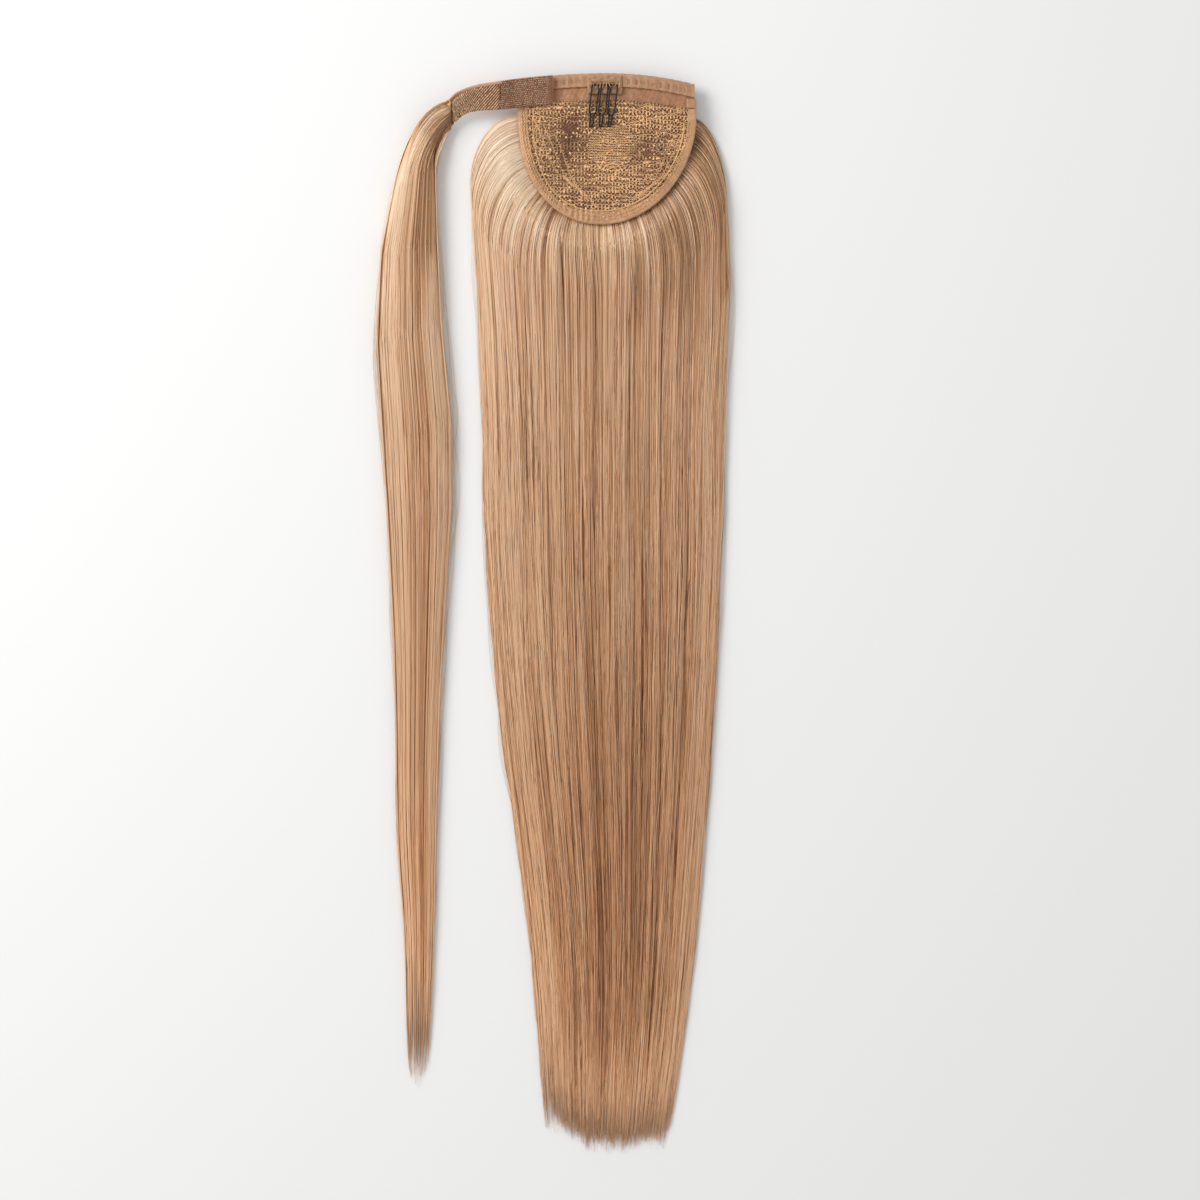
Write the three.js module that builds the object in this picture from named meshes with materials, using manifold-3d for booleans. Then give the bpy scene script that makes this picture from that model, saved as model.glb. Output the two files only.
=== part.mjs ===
// A wrap-around ponytail hairpiece, lying flat with the lining of its base facing up.
// A lace panel bound with satin carries the long hair underneath. A satin band with a wire comb closes its top,
// and a hook-and-loop strap leads from the band to a slim tress that is wound round the finished ponytail.
// Millimetres. X runs across the base, Y up towards the band, Z up from the table.
import * as THREE from "three";
import { mergeVertices } from "three/addons/utils/BufferGeometryUtils.js";
import Module from "manifold-3d";

const wasm = await Module();
wasm.setup();

// Overall
const PIECE_LENGTH = 598; // band's top edge to the longest hair tips
const CLEARANCE = 0.3; // between two pieces that lie on each other

// Base: the height of its seat on the hair, and how far the cloth droops from there to its edges
const SEAT_HEIGHT = 13;
const SIDE_DROOP = 3.2;
const END_DROOP = 2.4;
const FLAT_SHARE = 0.26; // share of the half width and half height that stays flat
const BASE_HALF_WIDTH = 49;
const BASE_HEIGHT = 82.5; // band's top edge to the foot of the curved rim
const FOOT_SHIFT = -3; // the foot of the rim lies a little left of the middle
const RIM_FULLNESS = { left: 2.2, right: 1.95 }; // exponents of the two superellipse quarters
const RIM_STEPS = 32;
const LACE_ROWS = 6;

// Lace and satin
const LACE_THICKNESS = 1.2;
const SATIN_THICKNESS = 1;
const LACE_DROP = 14; // band's top edge to the lace's top edge
const BAND_HEIGHT = 16.5;
const TOP_BOW = { left: 3.2, right: 6 }; // how far the top edge sinks from the middle to each corner
const BINDING_REACH = 5;
const BINDING_WIDER = 2; // how much wider the binding starts, at its left end
const BINDING_WIDER_SHARE = 0.2; // share of the rim over which that fades
const HEM_REACH = 6.5;
const SIDE_HEM_REACH = 4.5;

// Comb
const TAB_WIDTH = 19.5;
const TAB_HEIGHT = 10.6;
const TAB_CENTRE = -1.2;
const WIRE = 0.9;
const COMB_TEETH = 3;
const TOOTH_WIDTH = 3.7; // between the middles of a tooth's two legs
const TOOTH_GAP = 1.45; // between the middles of neighbouring teeth's legs
const TOOTH_LENGTH = 23.4;
const TOOTH_TIP = 1.9; // width of a tooth where it has narrowed
const COMB_TOP = 5.6; // band's top edge to the comb's bar
const COMB_LEAN = 2.6; // how far the tips lie left of the bar
const WIRE_SIDES = 6;

// Strap
const STRAP_REACH = 60;
const STRAP_OVERLAP = 17.6; // how far the strap reaches in over the base from its left corner
const BAND_UNDER_STRAP = 1.6; // how far the band runs on under the strap's inner end
const STRAP_WIDTH = 16;
const TAPE_THICKNESS = 1.2;
const PATCH_THICKNESS = 1.6;
const TAPE_EDGE = 1.4; // ribbon left bare along the strap's upper edge
const PATCH_END = 0.44; // where the hook patch ends and the loop tape starts, as a share of the strap
const STRAP_SLANT = 0.072; // the strap's end is cut upright: its lower edge runs on, its upper edge stops short
const TAPE_END = 0.92;
const WEFT_RADIUS = 1.4;
const WEFT_OVERHANG = 1.04; // length of the weft, as a share of the strap's width
const CUT_OVERHANG = 1.25; // the same for the room that the hair leaves round it
const STRAP_STEPS = 22;

// Hair
const HAIR_REACH = 73;
const HAIR_HEIGHT = 15.5;
const WRAP_START = 14; // band's top edge to the root of the wrap tress
const WRAP_LENGTH = 553;
const WRAP_REACH = 72; // greatest distance of the tress's left side from its root's right side
const WRAP_HEIGHT = 12.5;
const WRAP_LAP = 3.4; // how far the root's right side reaches back along the strap from its end
const LOCK_SIDES = 6;

// Places that follow from the sizes above
const strapStart = -BASE_HALF_WIDTH + STRAP_OVERLAP;
const bandStart = strapStart - BAND_UNDER_STRAP;
const wrapRoot = strapStart - STRAP_REACH + WRAP_LAP;

// The long hair, from under the lace to the tips. along is a share of PIECE_LENGTH, left and right are shares of
// HAIR_REACH, rise is a share of HAIR_HEIGHT, and fill is how much of its full width each lock still has.
const LONG_HAIR = [
  { along: 0.03, left: 0.67, right: 0.65, rise: 0.5, fill: 1 },
  { along: 0.0393, left: 0.821, right: 0.683, rise: 0.62, fill: 1 },
  { along: 0.0515, left: 0.913, right: 0.76, rise: 0.76, fill: 1 },
  { along: 0.0646, left: 0.982, right: 0.82, rise: 0.86, fill: 1 },
  { along: 0.0805, left: 1.028, right: 0.867, rise: 0.93, fill: 1 },
  { along: 0.0974, left: 1.051, right: 0.905, rise: 0.97, fill: 1 },
  { along: 0.13, left: 1.047, right: 0.936, rise: 1, fill: 1 },
  { along: 0.19, left: 1.01, right: 0.952, rise: 0.95, fill: 1 },
  { along: 0.29, left: 0.959, right: 0.905, rise: 0.83, fill: 1 },
  { along: 0.444, left: 0.92, right: 0.882, rise: 0.68, fill: 1 },
  { along: 0.622, left: 0.806, right: 0.813, rise: 0.59, fill: 1 },
  { along: 0.716, left: 0.69, right: 0.744, rise: 0.54, fill: 1 },
  { along: 0.846, left: 0.56, right: 0.644, rise: 0.44, fill: 1 },
  { along: 0.95, left: 0.506, right: 0.537, rise: 0.29, fill: 0.88 },
  { along: 0.98, left: 0.47, right: 0.48, rise: 0.2, fill: 0.66 },
  { along: 1, left: 0.455, right: 0.45, rise: 0.12, fill: 0.35 },
];

// Locks of the long hair: at runs from -1 on the left side to 1 on the right, spread is the lock's half width as a
// share of the hair's, reach is its length as a share of the longest, and rise its height as a share of the hair's.
const LONG_LOCKS = [
  { at: -0.915, spread: 0.1, reach: 0.955, rise: 0.66 },
  { at: -0.78, spread: 0.125, reach: 0.972, rise: 0.86 },
  { at: -0.61, spread: 0.115, reach: 0.985, rise: 0.95 },
  { at: -0.44, spread: 0.12, reach: 0.978, rise: 0.98 },
  { at: -0.27, spread: 0.11, reach: 0.99, rise: 0.96 },
  { at: -0.11, spread: 0.115, reach: 0.986, rise: 1 },
  { at: 0.06, spread: 0.12, reach: 0.996, rise: 0.97 },
  { at: 0.22, spread: 0.105, reach: 0.99, rise: 1 },
  { at: 0.38, spread: 0.12, reach: 1, rise: 0.95 },
  { at: 0.55, spread: 0.115, reach: 0.988, rise: 0.97 },
  { at: 0.71, spread: 0.115, reach: 0.994, rise: 0.88 },
  { at: 0.83, spread: 0.1, reach: 0.978, rise: 0.76 },
  { at: 0.93, spread: 0.085, reach: 0.95, rise: 0.6 },
];
const LONG_CORE = { at: 0, spread: 0.965, reach: 0.96, rise: 0.8 };

// The wrap tress, from its root on the strap to the tips. along is a share of WRAP_LENGTH, left and right are shares
// of WRAP_REACH leftwards from wrapRoot, rise is a share of WRAP_HEIGHT, and fill as in LONG_HAIR.
const WRAP_HAIR = [
  { along: -0.004, left: 0.05, right: 0.0226, rise: 0.9, fill: 1 },
  { along: 0.004, left: 0.2, right: 0.03, rise: 0.97, fill: 1 },
  { along: 0.022, left: 0.279, right: 0.026, rise: 1, fill: 1 },
  { along: 0.0466, left: 0.337, right: 0.108, rise: 1, fill: 1 },
  { along: 0.0815, left: 0.429, right: 0.1, rise: 0.96, fill: 1 },
  { along: 0.1165, left: 0.497, right: 0.095, rise: 0.92, fill: 1 },
  { along: 0.195, left: 0.567, right: 0.077, rise: 0.86, fill: 1 },
  { along: 0.2876, left: 0.567, right: 0.015, rise: 0.8, fill: 1 },
  { along: 0.349, left: 0.528, right: -0.024, rise: 0.77, fill: 1 },
  { along: 0.466, left: 0.476, right: 0.015, rise: 0.7, fill: 1 },
  { along: 0.605, left: 0.427, right: 0.073, rise: 0.63, fill: 1 },
  { along: 0.744, left: 0.411, right: 0.108, rise: 0.56, fill: 1 },
  { along: 0.8425, left: 0.353, right: 0.124, rise: 0.46, fill: 1 },
  { along: 0.942, left: 0.337, right: 0.155, rise: 0.3, fill: 0.9 },
  { along: 0.975, left: 0.31, right: 0.17, rise: 0.21, fill: 0.7 },
  { along: 1, left: 0.25, right: 0.21, rise: 0.12, fill: 0.42 },
];
const WRAP_LOCKS = [
  { at: -0.76, spread: 0.3, reach: 0.955, rise: 0.8 },
  { at: -0.34, spread: 0.31, reach: 0.985, rise: 0.97 },
  { at: 0.08, spread: 0.3, reach: 1, rise: 1 },
  { at: 0.46, spread: 0.3, reach: 0.978, rise: 0.94 },
  { at: 0.78, spread: 0.27, reach: 0.945, rise: 0.76 },
];
const WRAP_CORE = { at: 0, spread: 0.95, reach: 0.95, rise: 0.74 };

// The strap's middle line, from the band to the end under the wrap tress. out and down are shares of STRAP_REACH,
// lift is a share of SEAT_HEIGHT, and tilt is how many degrees the strap has rolled onto its lower edge.
const STRAP_ROUTE = [
  { out: 0, down: 0.135, lift: 1.01, tilt: 0 },
  { out: 0.149, down: 0.147, lift: 0.969, tilt: 0 },
  { out: 0.289, down: 0.159, lift: 0.908, tilt: 0 },
  { out: 0.513, down: 0.189, lift: 0.777, tilt: 2 },
  { out: 0.681, down: 0.207, lift: 0.692, tilt: 6 },
  { out: 0.803, down: 0.241, lift: 0.631, tilt: 15 },
  { out: 0.891, down: 0.285, lift: 0.585, tilt: 27 },
  { out: 0.947, down: 0.327, lift: 0.562, tilt: 37 },
  { out: 0.999, down: 0.378, lift: 0.546, tilt: 43 },
];

// Shape helpers

// Turns a closed surface's faces outwards and merges its shared corners.
function closedGeometry(points, faces) {
  const geometry = new THREE.BufferGeometry();
  geometry.setAttribute("position", new THREE.Float32BufferAttribute(points.flatMap((p) => [p.x, p.y, p.z]), 3));
  const volume = faces.reduce((sum, [a, b, c]) => {
    const cross = new THREE.Vector3().crossVectors(points[b], points[c]);
    return sum + points[a].dot(cross);
  }, 0);
  geometry.setIndex(faces.flatMap(([a, b, c]) => (volume < 0 ? [a, c, b] : [a, b, c])));
  return mergeVertices(geometry);
}

// A skin through rings of points, closed with flat ends. The section is the outline that both ends are cut to.
function loft(rings, section) {
  const count = rings[0].length;
  const faces = [];
  for (let i = 0; i < rings.length - 1; i++) {
    for (let j = 0; j < count; j++) {
      const a = i * count + j;
      const b = i * count + ((j + 1) % count);
      faces.push([a, b, b + count], [a, b + count, a + count]);
    }
  }
  const last = (rings.length - 1) * count;
  const clockwise = THREE.ShapeUtils.isClockWise(section);
  for (const [a, b, c] of THREE.ShapeUtils.triangulateShape(section, [])) {
    const cap = clockwise ? [a, c, b] : [a, b, c];
    faces.push([...cap].reverse(), cap.map((corner) => last + corner));
  }
  return closedGeometry(rings.flat(), faces);
}

// A cloth slab of columns by rows. place(u, v, side) gives its corners, with side 0 underneath and 1 on top.
function slab(columns, rows, place) {
  const points = [];
  const index = (i, j, side) => (side * (columns + 1) + i) * (rows + 1) + j;
  for (const side of [0, 1]) {
    for (let i = 0; i <= columns; i++) {
      for (let j = 0; j <= rows; j++) points.push(place(i / columns, j / rows, side));
    }
  }
  const faces = [];
  const quad = (a, b, c, d) => faces.push([a, b, c], [a, c, d]);
  for (let i = 0; i < columns; i++) {
    for (let j = 0; j < rows; j++) {
      quad(index(i, j, 1), index(i + 1, j, 1), index(i + 1, j + 1, 1), index(i, j + 1, 1));
      quad(index(i, j, 0), index(i, j + 1, 0), index(i + 1, j + 1, 0), index(i + 1, j, 0));
    }
    quad(index(i, 0, 0), index(i + 1, 0, 0), index(i + 1, 0, 1), index(i, 0, 1));
    quad(index(i, rows, 1), index(i + 1, rows, 1), index(i + 1, rows, 0), index(i, rows, 0));
  }
  for (let j = 0; j < rows; j++) {
    quad(index(0, j, 0), index(0, j, 1), index(0, j + 1, 1), index(0, j + 1, 0));
    quad(index(columns, j, 1), index(columns, j, 0), index(columns, j + 1, 0), index(columns, j + 1, 1));
  }
  return closedGeometry(points, faces);
}

function toSolid(geometry) {
  const shape = geometry.clone();
  shape.deleteAttribute("normal");
  shape.deleteAttribute("uv");
  const merged = mergeVertices(shape);
  return new wasm.Manifold(
    new wasm.Mesh({
      numProp: 3,
      vertProperties: new Float32Array(merged.attributes.position.array),
      triVerts: new Uint32Array(merged.index.array),
    }),
  );
}

function fromSolid(solid) {
  const mesh = solid.getMesh();
  const geometry = new THREE.BufferGeometry();
  geometry.setAttribute("position", new THREE.BufferAttribute(mesh.vertProperties, 3));
  geometry.setIndex(new THREE.BufferAttribute(mesh.triVerts, 1));
  return geometry;
}

const mix = (a, b, share) => a + (b - a) * share;
const flat = (x, y) => new THREE.Vector2(x, y);
const turnedLeft = (v) => flat(-v.y, v.x);

// The base's surface and outlines

// Height of the lace's underside: level around the middle, drooping towards every edge.
function seatHeight(x, y) {
  const beyondFlat = (share) => Math.max(0, Math.abs(share) - FLAT_SHARE) / (1 - FLAT_SHARE);
  const across = beyondFlat(x / BASE_HALF_WIDTH);
  const along = beyondFlat(y / (BASE_HEIGHT / 2) + 1);
  return SEAT_HEIGHT - SIDE_DROOP * across ** 2 - END_DROOP * along ** 2;
}

// The band's top edge, bowed down to both corners.
function topEdge(x) {
  const bow = x < 0 ? TOP_BOW.left : TOP_BOW.right;
  return -bow * (x / BASE_HALF_WIDTH) ** 2;
}

const laceTop = (x) => topEdge(x) - LACE_DROP;

// The lace's curved edge, from the left corner round the foot to the right corner.
function rimPoint(t) {
  const angle = Math.PI * t;
  const side = t < 0.5 ? "left" : "right";
  const corner = side === "left" ? -BASE_HALF_WIDTH : BASE_HALF_WIDTH;
  const cornerY = topEdge(corner) - BAND_HEIGHT - 2 * CLEARANCE;
  const power = 2 / RIM_FULLNESS[side];
  const across = Math.abs(Math.cos(angle)) ** power;
  const down = Math.abs(Math.sin(angle)) ** power;
  return flat(mix(FOOT_SHIFT, corner, across), mix(cornerY, -BASE_HEIGHT, down));
}

// Points on a line, each with the direction that lies to the left of travel.
function edgePath(pointAt, steps) {
  const small = 1e-3;
  return Array.from({ length: steps + 1 }, (_, i) => {
    const t = i / steps;
    const before = pointAt(Math.max(0, t - small));
    const after = pointAt(Math.min(1, t + small));
    return { point: pointAt(t), inward: turnedLeft(after.sub(before).normalize()) };
  });
}

const rimPath = edgePath(rimPoint, RIM_STEPS);

// Satin folded over a cloth edge: a channel that follows the edge and grips the cloth from both sides.
function foldedSatin(path, reachAt, clothFoot, clothThickness) {
  const wall = SATIN_THICKNESS;
  const innerFoot = clothFoot - CLEARANCE;
  const innerHead = clothFoot + clothThickness + CLEARANCE;
  const fold = -CLEARANCE - wall;
  const channel = (reach) => [
    flat(reach, innerFoot - wall),
    flat(fold + wall / 2, innerFoot - wall),
    flat(fold, innerFoot),
    flat(fold, innerHead),
    flat(fold + wall / 2, innerHead + wall),
    flat(reach, innerHead + wall),
    flat(reach, innerHead),
    flat(-CLEARANCE, innerHead),
    flat(-CLEARANCE, innerFoot),
    flat(reach, innerFoot),
  ];
  const rings = path.map(({ point, inward }, i) =>
    channel(reachAt(i / (path.length - 1))).map(({ x: into, y: lift }) => {
      const place = point.clone().addScaledVector(inward, into);
      return new THREE.Vector3(place.x, place.y, seatHeight(place.x, place.y) + lift);
    }),
  );
  return loft(rings, channel(reachAt(0)));
}

// Flat cloth lying over the base between two edges, each given as a height for every x.
function clothOnBase(left, right, footAt, headAt, foot, thickness, columns, rows) {
  return slab(columns, rows, (u, v, side) => {
    const x = mix(left, right, u);
    const y = mix(footAt(x), headAt(x), v);
    return new THREE.Vector3(x, y, seatHeight(x, y) + foot + side * thickness);
  });
}

const bandFoot = -CLEARANCE - SATIN_THICKNESS;
const hemTop = SATIN_THICKNESS;
const tabFoot = hemTop + CLEARANCE;
const tabTop = tabFoot + SATIN_THICKNESS;

function lacePanel() {
  return slab(RIM_STEPS, LACE_ROWS, (u, v, side) => {
    const rim = rimPoint(u);
    const x = mix(-BASE_HALF_WIDTH, BASE_HALF_WIDTH, u);
    const place = rim.lerp(flat(x, laceTop(x)), v);
    return new THREE.Vector3(place.x, place.y, seatHeight(place.x, place.y) + side * LACE_THICKNESS);
  });
}

function rimBinding() {
  const reachAt = (t) => BINDING_REACH + BINDING_WIDER * Math.max(0, 1 - t / BINDING_WIDER_SHARE);
  return foldedSatin(rimPath, reachAt, 0, LACE_THICKNESS);
}

function satinBand() {
  const foot = (x) => topEdge(x) - BAND_HEIGHT;
  return clothOnBase(bandStart, BASE_HALF_WIDTH, foot, topEdge, bandFoot, SATIN_THICKNESS, 20, 4);
}

function topHem() {
  const start = strapStart + CLEARANCE;
  const topPoint = (t) => {
    const x = mix(BASE_HALF_WIDTH, start, t);
    return flat(x, topEdge(x));
  };
  return foldedSatin(edgePath(topPoint, 20), () => HEM_REACH, bandFoot, SATIN_THICKNESS);
}

// The fold down the band's right end, between the top hem and the lace.
function sideHem() {
  const head = topEdge(BASE_HALF_WIDTH) - HEM_REACH - 2 * CLEARANCE;
  const foot = laceTop(BASE_HALF_WIDTH - SIDE_HEM_REACH) + 2 * CLEARANCE;
  const sidePoint = (t) => flat(BASE_HALF_WIDTH, mix(foot, head, t));
  return foldedSatin(edgePath(sidePoint, 3), () => SIDE_HEM_REACH, bandFoot, SATIN_THICKNESS);
}

function combTab() {
  const left = TAB_CENTRE - TAB_WIDTH / 2;
  const foot = (x) => topEdge(x) - TAB_HEIGHT;
  return clothOnBase(left, left + TAB_WIDTH, foot, topEdge, tabFoot, SATIN_THICKNESS, 6, 4);
}

// Comb

// The bent wire's middle line in the comb's own plane: down one leg of a tooth, round its tip, up the other leg and
// over to the next tooth.
function combRoute() {
  const pitch = TOOTH_WIDTH + TOOTH_GAP;
  const width = (COMB_TEETH - 1) * pitch + TOOTH_WIDTH;
  const shoulder = 0.72 * TOOTH_LENGTH;
  const neck = 0.82 * TOOTH_LENGTH;
  const half = TOOTH_WIDTH / 2;
  const tip = TOOTH_TIP / 2;
  const route = [];
  for (let tooth = 0; tooth < COMB_TEETH; tooth++) {
    const middle = tooth * pitch + half - width / 2;
    const leg = [
      [half - TOOTH_GAP * 0.13, 0],
      [half, TOOTH_GAP * 0.4],
      [half, shoulder * 0.5],
      [half * 1.06, shoulder],
      [tip, neck],
      [tip, TOOTH_LENGTH - tip],
      [tip * 0.7, TOOTH_LENGTH - tip * 0.3],
    ];
    route.push(...leg.map(([x, y]) => flat(middle - x, -y)));
    route.push(flat(middle, -TOOTH_LENGTH));
    route.push(...leg.reverse().map(([x, y]) => flat(middle + x, -y)));
  }
  return { route, width };
}

// Lays a point of the comb's plane over the tab and the lace.
function onComb(point) {
  const x = TAB_CENTRE + point.x + (COMB_LEAN * point.y) / TOOTH_LENGTH;
  const y = topEdge(TAB_CENTRE) - COMB_TOP + point.y;
  const rest = tabTop + CLEARANCE + WIRE / 2;
  const sink = (rest - LACE_THICKNESS - CLEARANCE - WIRE) * Math.min(1, -point.y / TOOTH_LENGTH);
  return new THREE.Vector3(x, y, seatHeight(TAB_CENTRE, y) + rest - sink);
}

// A round wire along a line of points, mitred at each bend.
function wire(points) {
  const circle = Array.from({ length: WIRE_SIDES }, (_, i) => {
    const angle = (2 * Math.PI * i) / WIRE_SIDES;
    return flat((WIRE / 2) * Math.cos(angle), (WIRE / 2) * Math.sin(angle));
  });
  const up = new THREE.Vector3(0, 0, 1);
  const heading = (i) => points[Math.min(i, points.length - 1)].clone().sub(points[i - 1]).normalize();
  const rings = points.map((point, i) => {
    const before = heading(Math.max(i, 1));
    const after = heading(Math.min(i + 1, points.length - 1));
    const along = before.clone().add(after).normalize();
    const across = new THREE.Vector3().crossVectors(up, along).normalize();
    const stretch = 1 / Math.max(0.5, along.dot(before));
    return circle.map((c) =>
      point.clone().addScaledVector(across, c.x * stretch).addScaledVector(up, c.y),
    );
  });
  return loft(rings, circle);
}

function wireComb() {
  const { route, width } = combRoute();
  const bar = [-width / 2 - WIRE, width / 2 + WIRE].map((x) => onComb(flat(x, WIRE / 3)));
  return fromSolid(toSolid(wire(route.map(onComb))).add(toSolid(wire(bar))));
}

// Strap

const strapLine = new THREE.CatmullRomCurve3(
  STRAP_ROUTE.map(
    ({ out, down, lift }) =>
      new THREE.Vector3(strapStart - out * STRAP_REACH, -down * STRAP_REACH, lift * SEAT_HEIGHT),
  ),
);
const strapTilt = new THREE.CatmullRomCurve3(STRAP_ROUTE.map(({ tilt }) => new THREE.Vector3(tilt, 0, 0)));

// A place on the strap: share runs along it, across from its lower edge at -1 to its upper edge at 1, lift from the
// ribbon's underside.
function onStrap(share, across, lift) {
  const onLine = THREE.MathUtils.clamp(share, 0, 1);
  const t = strapLine.getUtoTmapping(onLine);
  const along = strapLine.getTangent(t).setZ(0).normalize();
  const middle = strapLine.getPoint(t).addScaledVector(along, (share - onLine) * STRAP_REACH);
  const tilt = THREE.MathUtils.degToRad(strapTilt.getPoint(t).x);
  const upper = new THREE.Vector3(along.y, -along.x, 0).applyAxisAngle(along, -tilt);
  const normal = new THREE.Vector3().crossVectors(upper, along).normalize();
  if (normal.z < 0) normal.negate();
  return middle.addScaledVector(upper, (across * STRAP_WIDTH) / 2).addScaledVector(normal, lift);
}

// One layer of the strap, between two shares of its length and two places across it. slant skews its far end.
function strapLayer({ from, to, lower, upper, foot, thickness, slant = 0 }) {
  const columns = Math.max(2, Math.round(STRAP_STEPS * (to - from)));
  return slab(columns, 3, (u, v, side) => {
    const across = mix(lower, upper, v);
    return onStrap(mix(from, to - slant * across, u), across, foot + side * thickness);
  });
}

const tapeUpper = 1 - (2 * TAPE_EDGE) / STRAP_WIDTH;
const tapeFoot = SATIN_THICKNESS + CLEARANCE;
const patchGap = CLEARANCE / STRAP_REACH;
const weftPlace = TAPE_END + (WEFT_RADIUS + CLEARANCE) / STRAP_REACH;
const ribbonEnd = weftPlace + WEFT_RADIUS / STRAP_REACH;

const strapRibbon = () =>
  strapLayer({
    from: 0,
    to: ribbonEnd,
    lower: -1,
    upper: 1,
    foot: 0,
    thickness: SATIN_THICKNESS,
    slant: STRAP_SLANT,
  });

const hookPatch = () =>
  strapLayer({
    from: 0,
    to: PATCH_END - patchGap,
    lower: -1,
    upper: tapeUpper,
    foot: tapeFoot,
    thickness: PATCH_THICKNESS,
  });

const strapTape = () =>
  strapLayer({
    from: PATCH_END + patchGap,
    to: TAPE_END - patchGap,
    lower: -1,
    upper: tapeUpper,
    foot: tapeFoot,
    thickness: TAPE_THICKNESS,
    slant: STRAP_SLANT,
  });

// The rolled weft that holds the wrap tress, laid across the strap, grown by a margin where it cuts the hair.
function weftRoll(margin) {
  const sides = 8;
  const radius = WEFT_RADIUS + margin;
  const circle = Array.from({ length: sides }, (_, i) => {
    const angle = (2 * Math.PI * i) / sides;
    return flat(radius * Math.cos(angle), radius * Math.sin(angle));
  });
  const overhang = margin ? CUT_OVERHANG : WEFT_OVERHANG;
  const rings = [-1, -0.5, 0, 0.5, 1].map((place) => {
    const across = place * overhang;
    const share = weftPlace - STRAP_SLANT * across;
    return circle.map(({ x, y }) => onStrap(share + x / STRAP_REACH, across, tapeFoot + WEFT_RADIUS + y));
  });
  return loft(rings, circle);
}

// Hair

// One lock: a rounded ridge with a flat underside on the table, through every row of the hair's table.
function lock(rows, { at, spread, reach, rise }, width, height, place, bluntness) {
  const arc = Array.from({ length: LOCK_SIDES + 1 }, (_, i) => (Math.PI * i) / LOCK_SIDES);
  const rings = rows.map((row) => {
    const left = -row.left * width;
    const right = row.right * width;
    const half = (right - left) / 2;
    const middle = (left + right) / 2 + at * half;
    const reachAcross = spread * half * row.fill;
    const top = height * row.rise * rise;
    return arc.map((angle) =>
      place(middle + reachAcross * Math.cos(angle), row.along * reach, top * Math.sin(angle) ** bluntness),
    );
  });
  const section = arc.map((angle) => flat(Math.cos(angle), Math.sin(angle)));
  return toSolid(loft(rings, section));
}

// A head of hair: a flat core with rounded locks fused to it.
function hair(rows, core, locks, width, height, place) {
  const pieces = [lock(rows, core, width, height, place, 0.42)];
  for (const each of locks) pieces.push(lock(rows, each, width, height, place, 0.8));
  return wasm.Manifold.union(pieces);
}

// Everything above the hair's seat under the base, out to a clearance beyond the bound rim.
function seatCutter() {
  const drop = 2 * CLEARANCE + SATIN_THICKNESS;
  const tall = 4 * HAIR_HEIGHT;
  const beyond = edgePath(rimPoint, RIM_STEPS).map(({ point, inward }) => point.addScaledVector(inward, -drop));
  const cutter = slab(RIM_STEPS, LACE_ROWS, (u, v, side) => {
    const rim = beyond[Math.round(u * RIM_STEPS)].clone();
    const x = mix(-BASE_HALF_WIDTH - drop, BASE_HALF_WIDTH + drop, u);
    const place = rim.lerp(flat(x, 0), v);
    const foot = seatHeight(place.x, place.y) - drop;
    return new THREE.Vector3(place.x, place.y, side ? tall : foot);
  });
  return toSolid(cutter);
}

function ponytailHair() {
  const place = (x, along, z) => new THREE.Vector3(x, -along * PIECE_LENGTH, z);
  const body = hair(LONG_HAIR, LONG_CORE, LONG_LOCKS, HAIR_REACH, HAIR_HEIGHT, place);
  return fromSolid(body.subtract(seatCutter()).simplify(0.01));
}

// The tress is cut clear of the strap's end and the weft that it hangs from.
function wrapHair() {
  const place = (x, along, z) => new THREE.Vector3(wrapRoot + x, -WRAP_START - along * WRAP_LENGTH, z);
  const mirrored = WRAP_HAIR.map((row) => ({ ...row, right: -row.right }));
  const body = hair(mirrored, WRAP_CORE, WRAP_LOCKS, WRAP_REACH, WRAP_HEIGHT, place);
  const strapSpace = strapLayer({
    from: 0,
    to: ribbonEnd + (2 * CLEARANCE) / STRAP_REACH,
    lower: -1 - (2 * CLEARANCE) / STRAP_WIDTH,
    upper: 1 + (2 * CLEARANCE) / STRAP_WIDTH,
    foot: -CLEARANCE,
    thickness: tapeFoot + TAPE_THICKNESS + 2 * CLEARANCE,
    slant: STRAP_SLANT,
  });
  return fromSolid(body.subtract(toSolid(strapSpace)).subtract(toSolid(weftRoll(CLEARANCE))).simplify(0.01));
}

// Assembly

const material = (color, roughness, metalness = 0) =>
  new THREE.MeshStandardMaterial({ color, roughness, metalness });
const hairBlond = material(0xc49a6c, 0.45);
const laceCord = material(0xa9805a, 0.85);
const satin = material(0xb7906c, 0.5);
const loopTape = material(0x8b664f, 0.9);
const hookTape = material(0x7d6350, 0.9);
const blackWire = material(0x1c1a19, 0.35, 0.8);

const hairpiece = new THREE.Group();
const addPiece = (name, geometry, finish) => {
  const mesh = new THREE.Mesh(geometry, finish);
  mesh.name = name;
  hairpiece.add(mesh);
};

addPiece("ponytail_hair", ponytailHair(), hairBlond);
addPiece("lace_panel", lacePanel(), laceCord);
addPiece("rim_binding", rimBinding(), satin);
addPiece("satin_band", satinBand(), satin);
addPiece("top_hem", topHem(), satin);
addPiece("side_hem", sideHem(), satin);
addPiece("comb_tab", combTab(), satin);
addPiece("wire_comb", wireComb(), blackWire);
addPiece("strap_ribbon", strapRibbon(), satin);
addPiece("strap_tape", strapTape(), loopTape);
addPiece("hook_patch", hookPatch(), hookTape);
addPiece("tress_weft", weftRoll(0), satin);
addPiece("wrap_hair", wrapHair(), hairBlond);

// The part's origin lies on the table, under the middle of the whole piece.
const bounds = new THREE.Box3().setFromObject(hairpiece, true);
const middle = bounds.getCenter(new THREE.Vector3());
hairpiece.position.set(-middle.x, -middle.y, -bounds.min.z);

const part = new THREE.Group();
part.add(hairpiece);

export default part;
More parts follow.
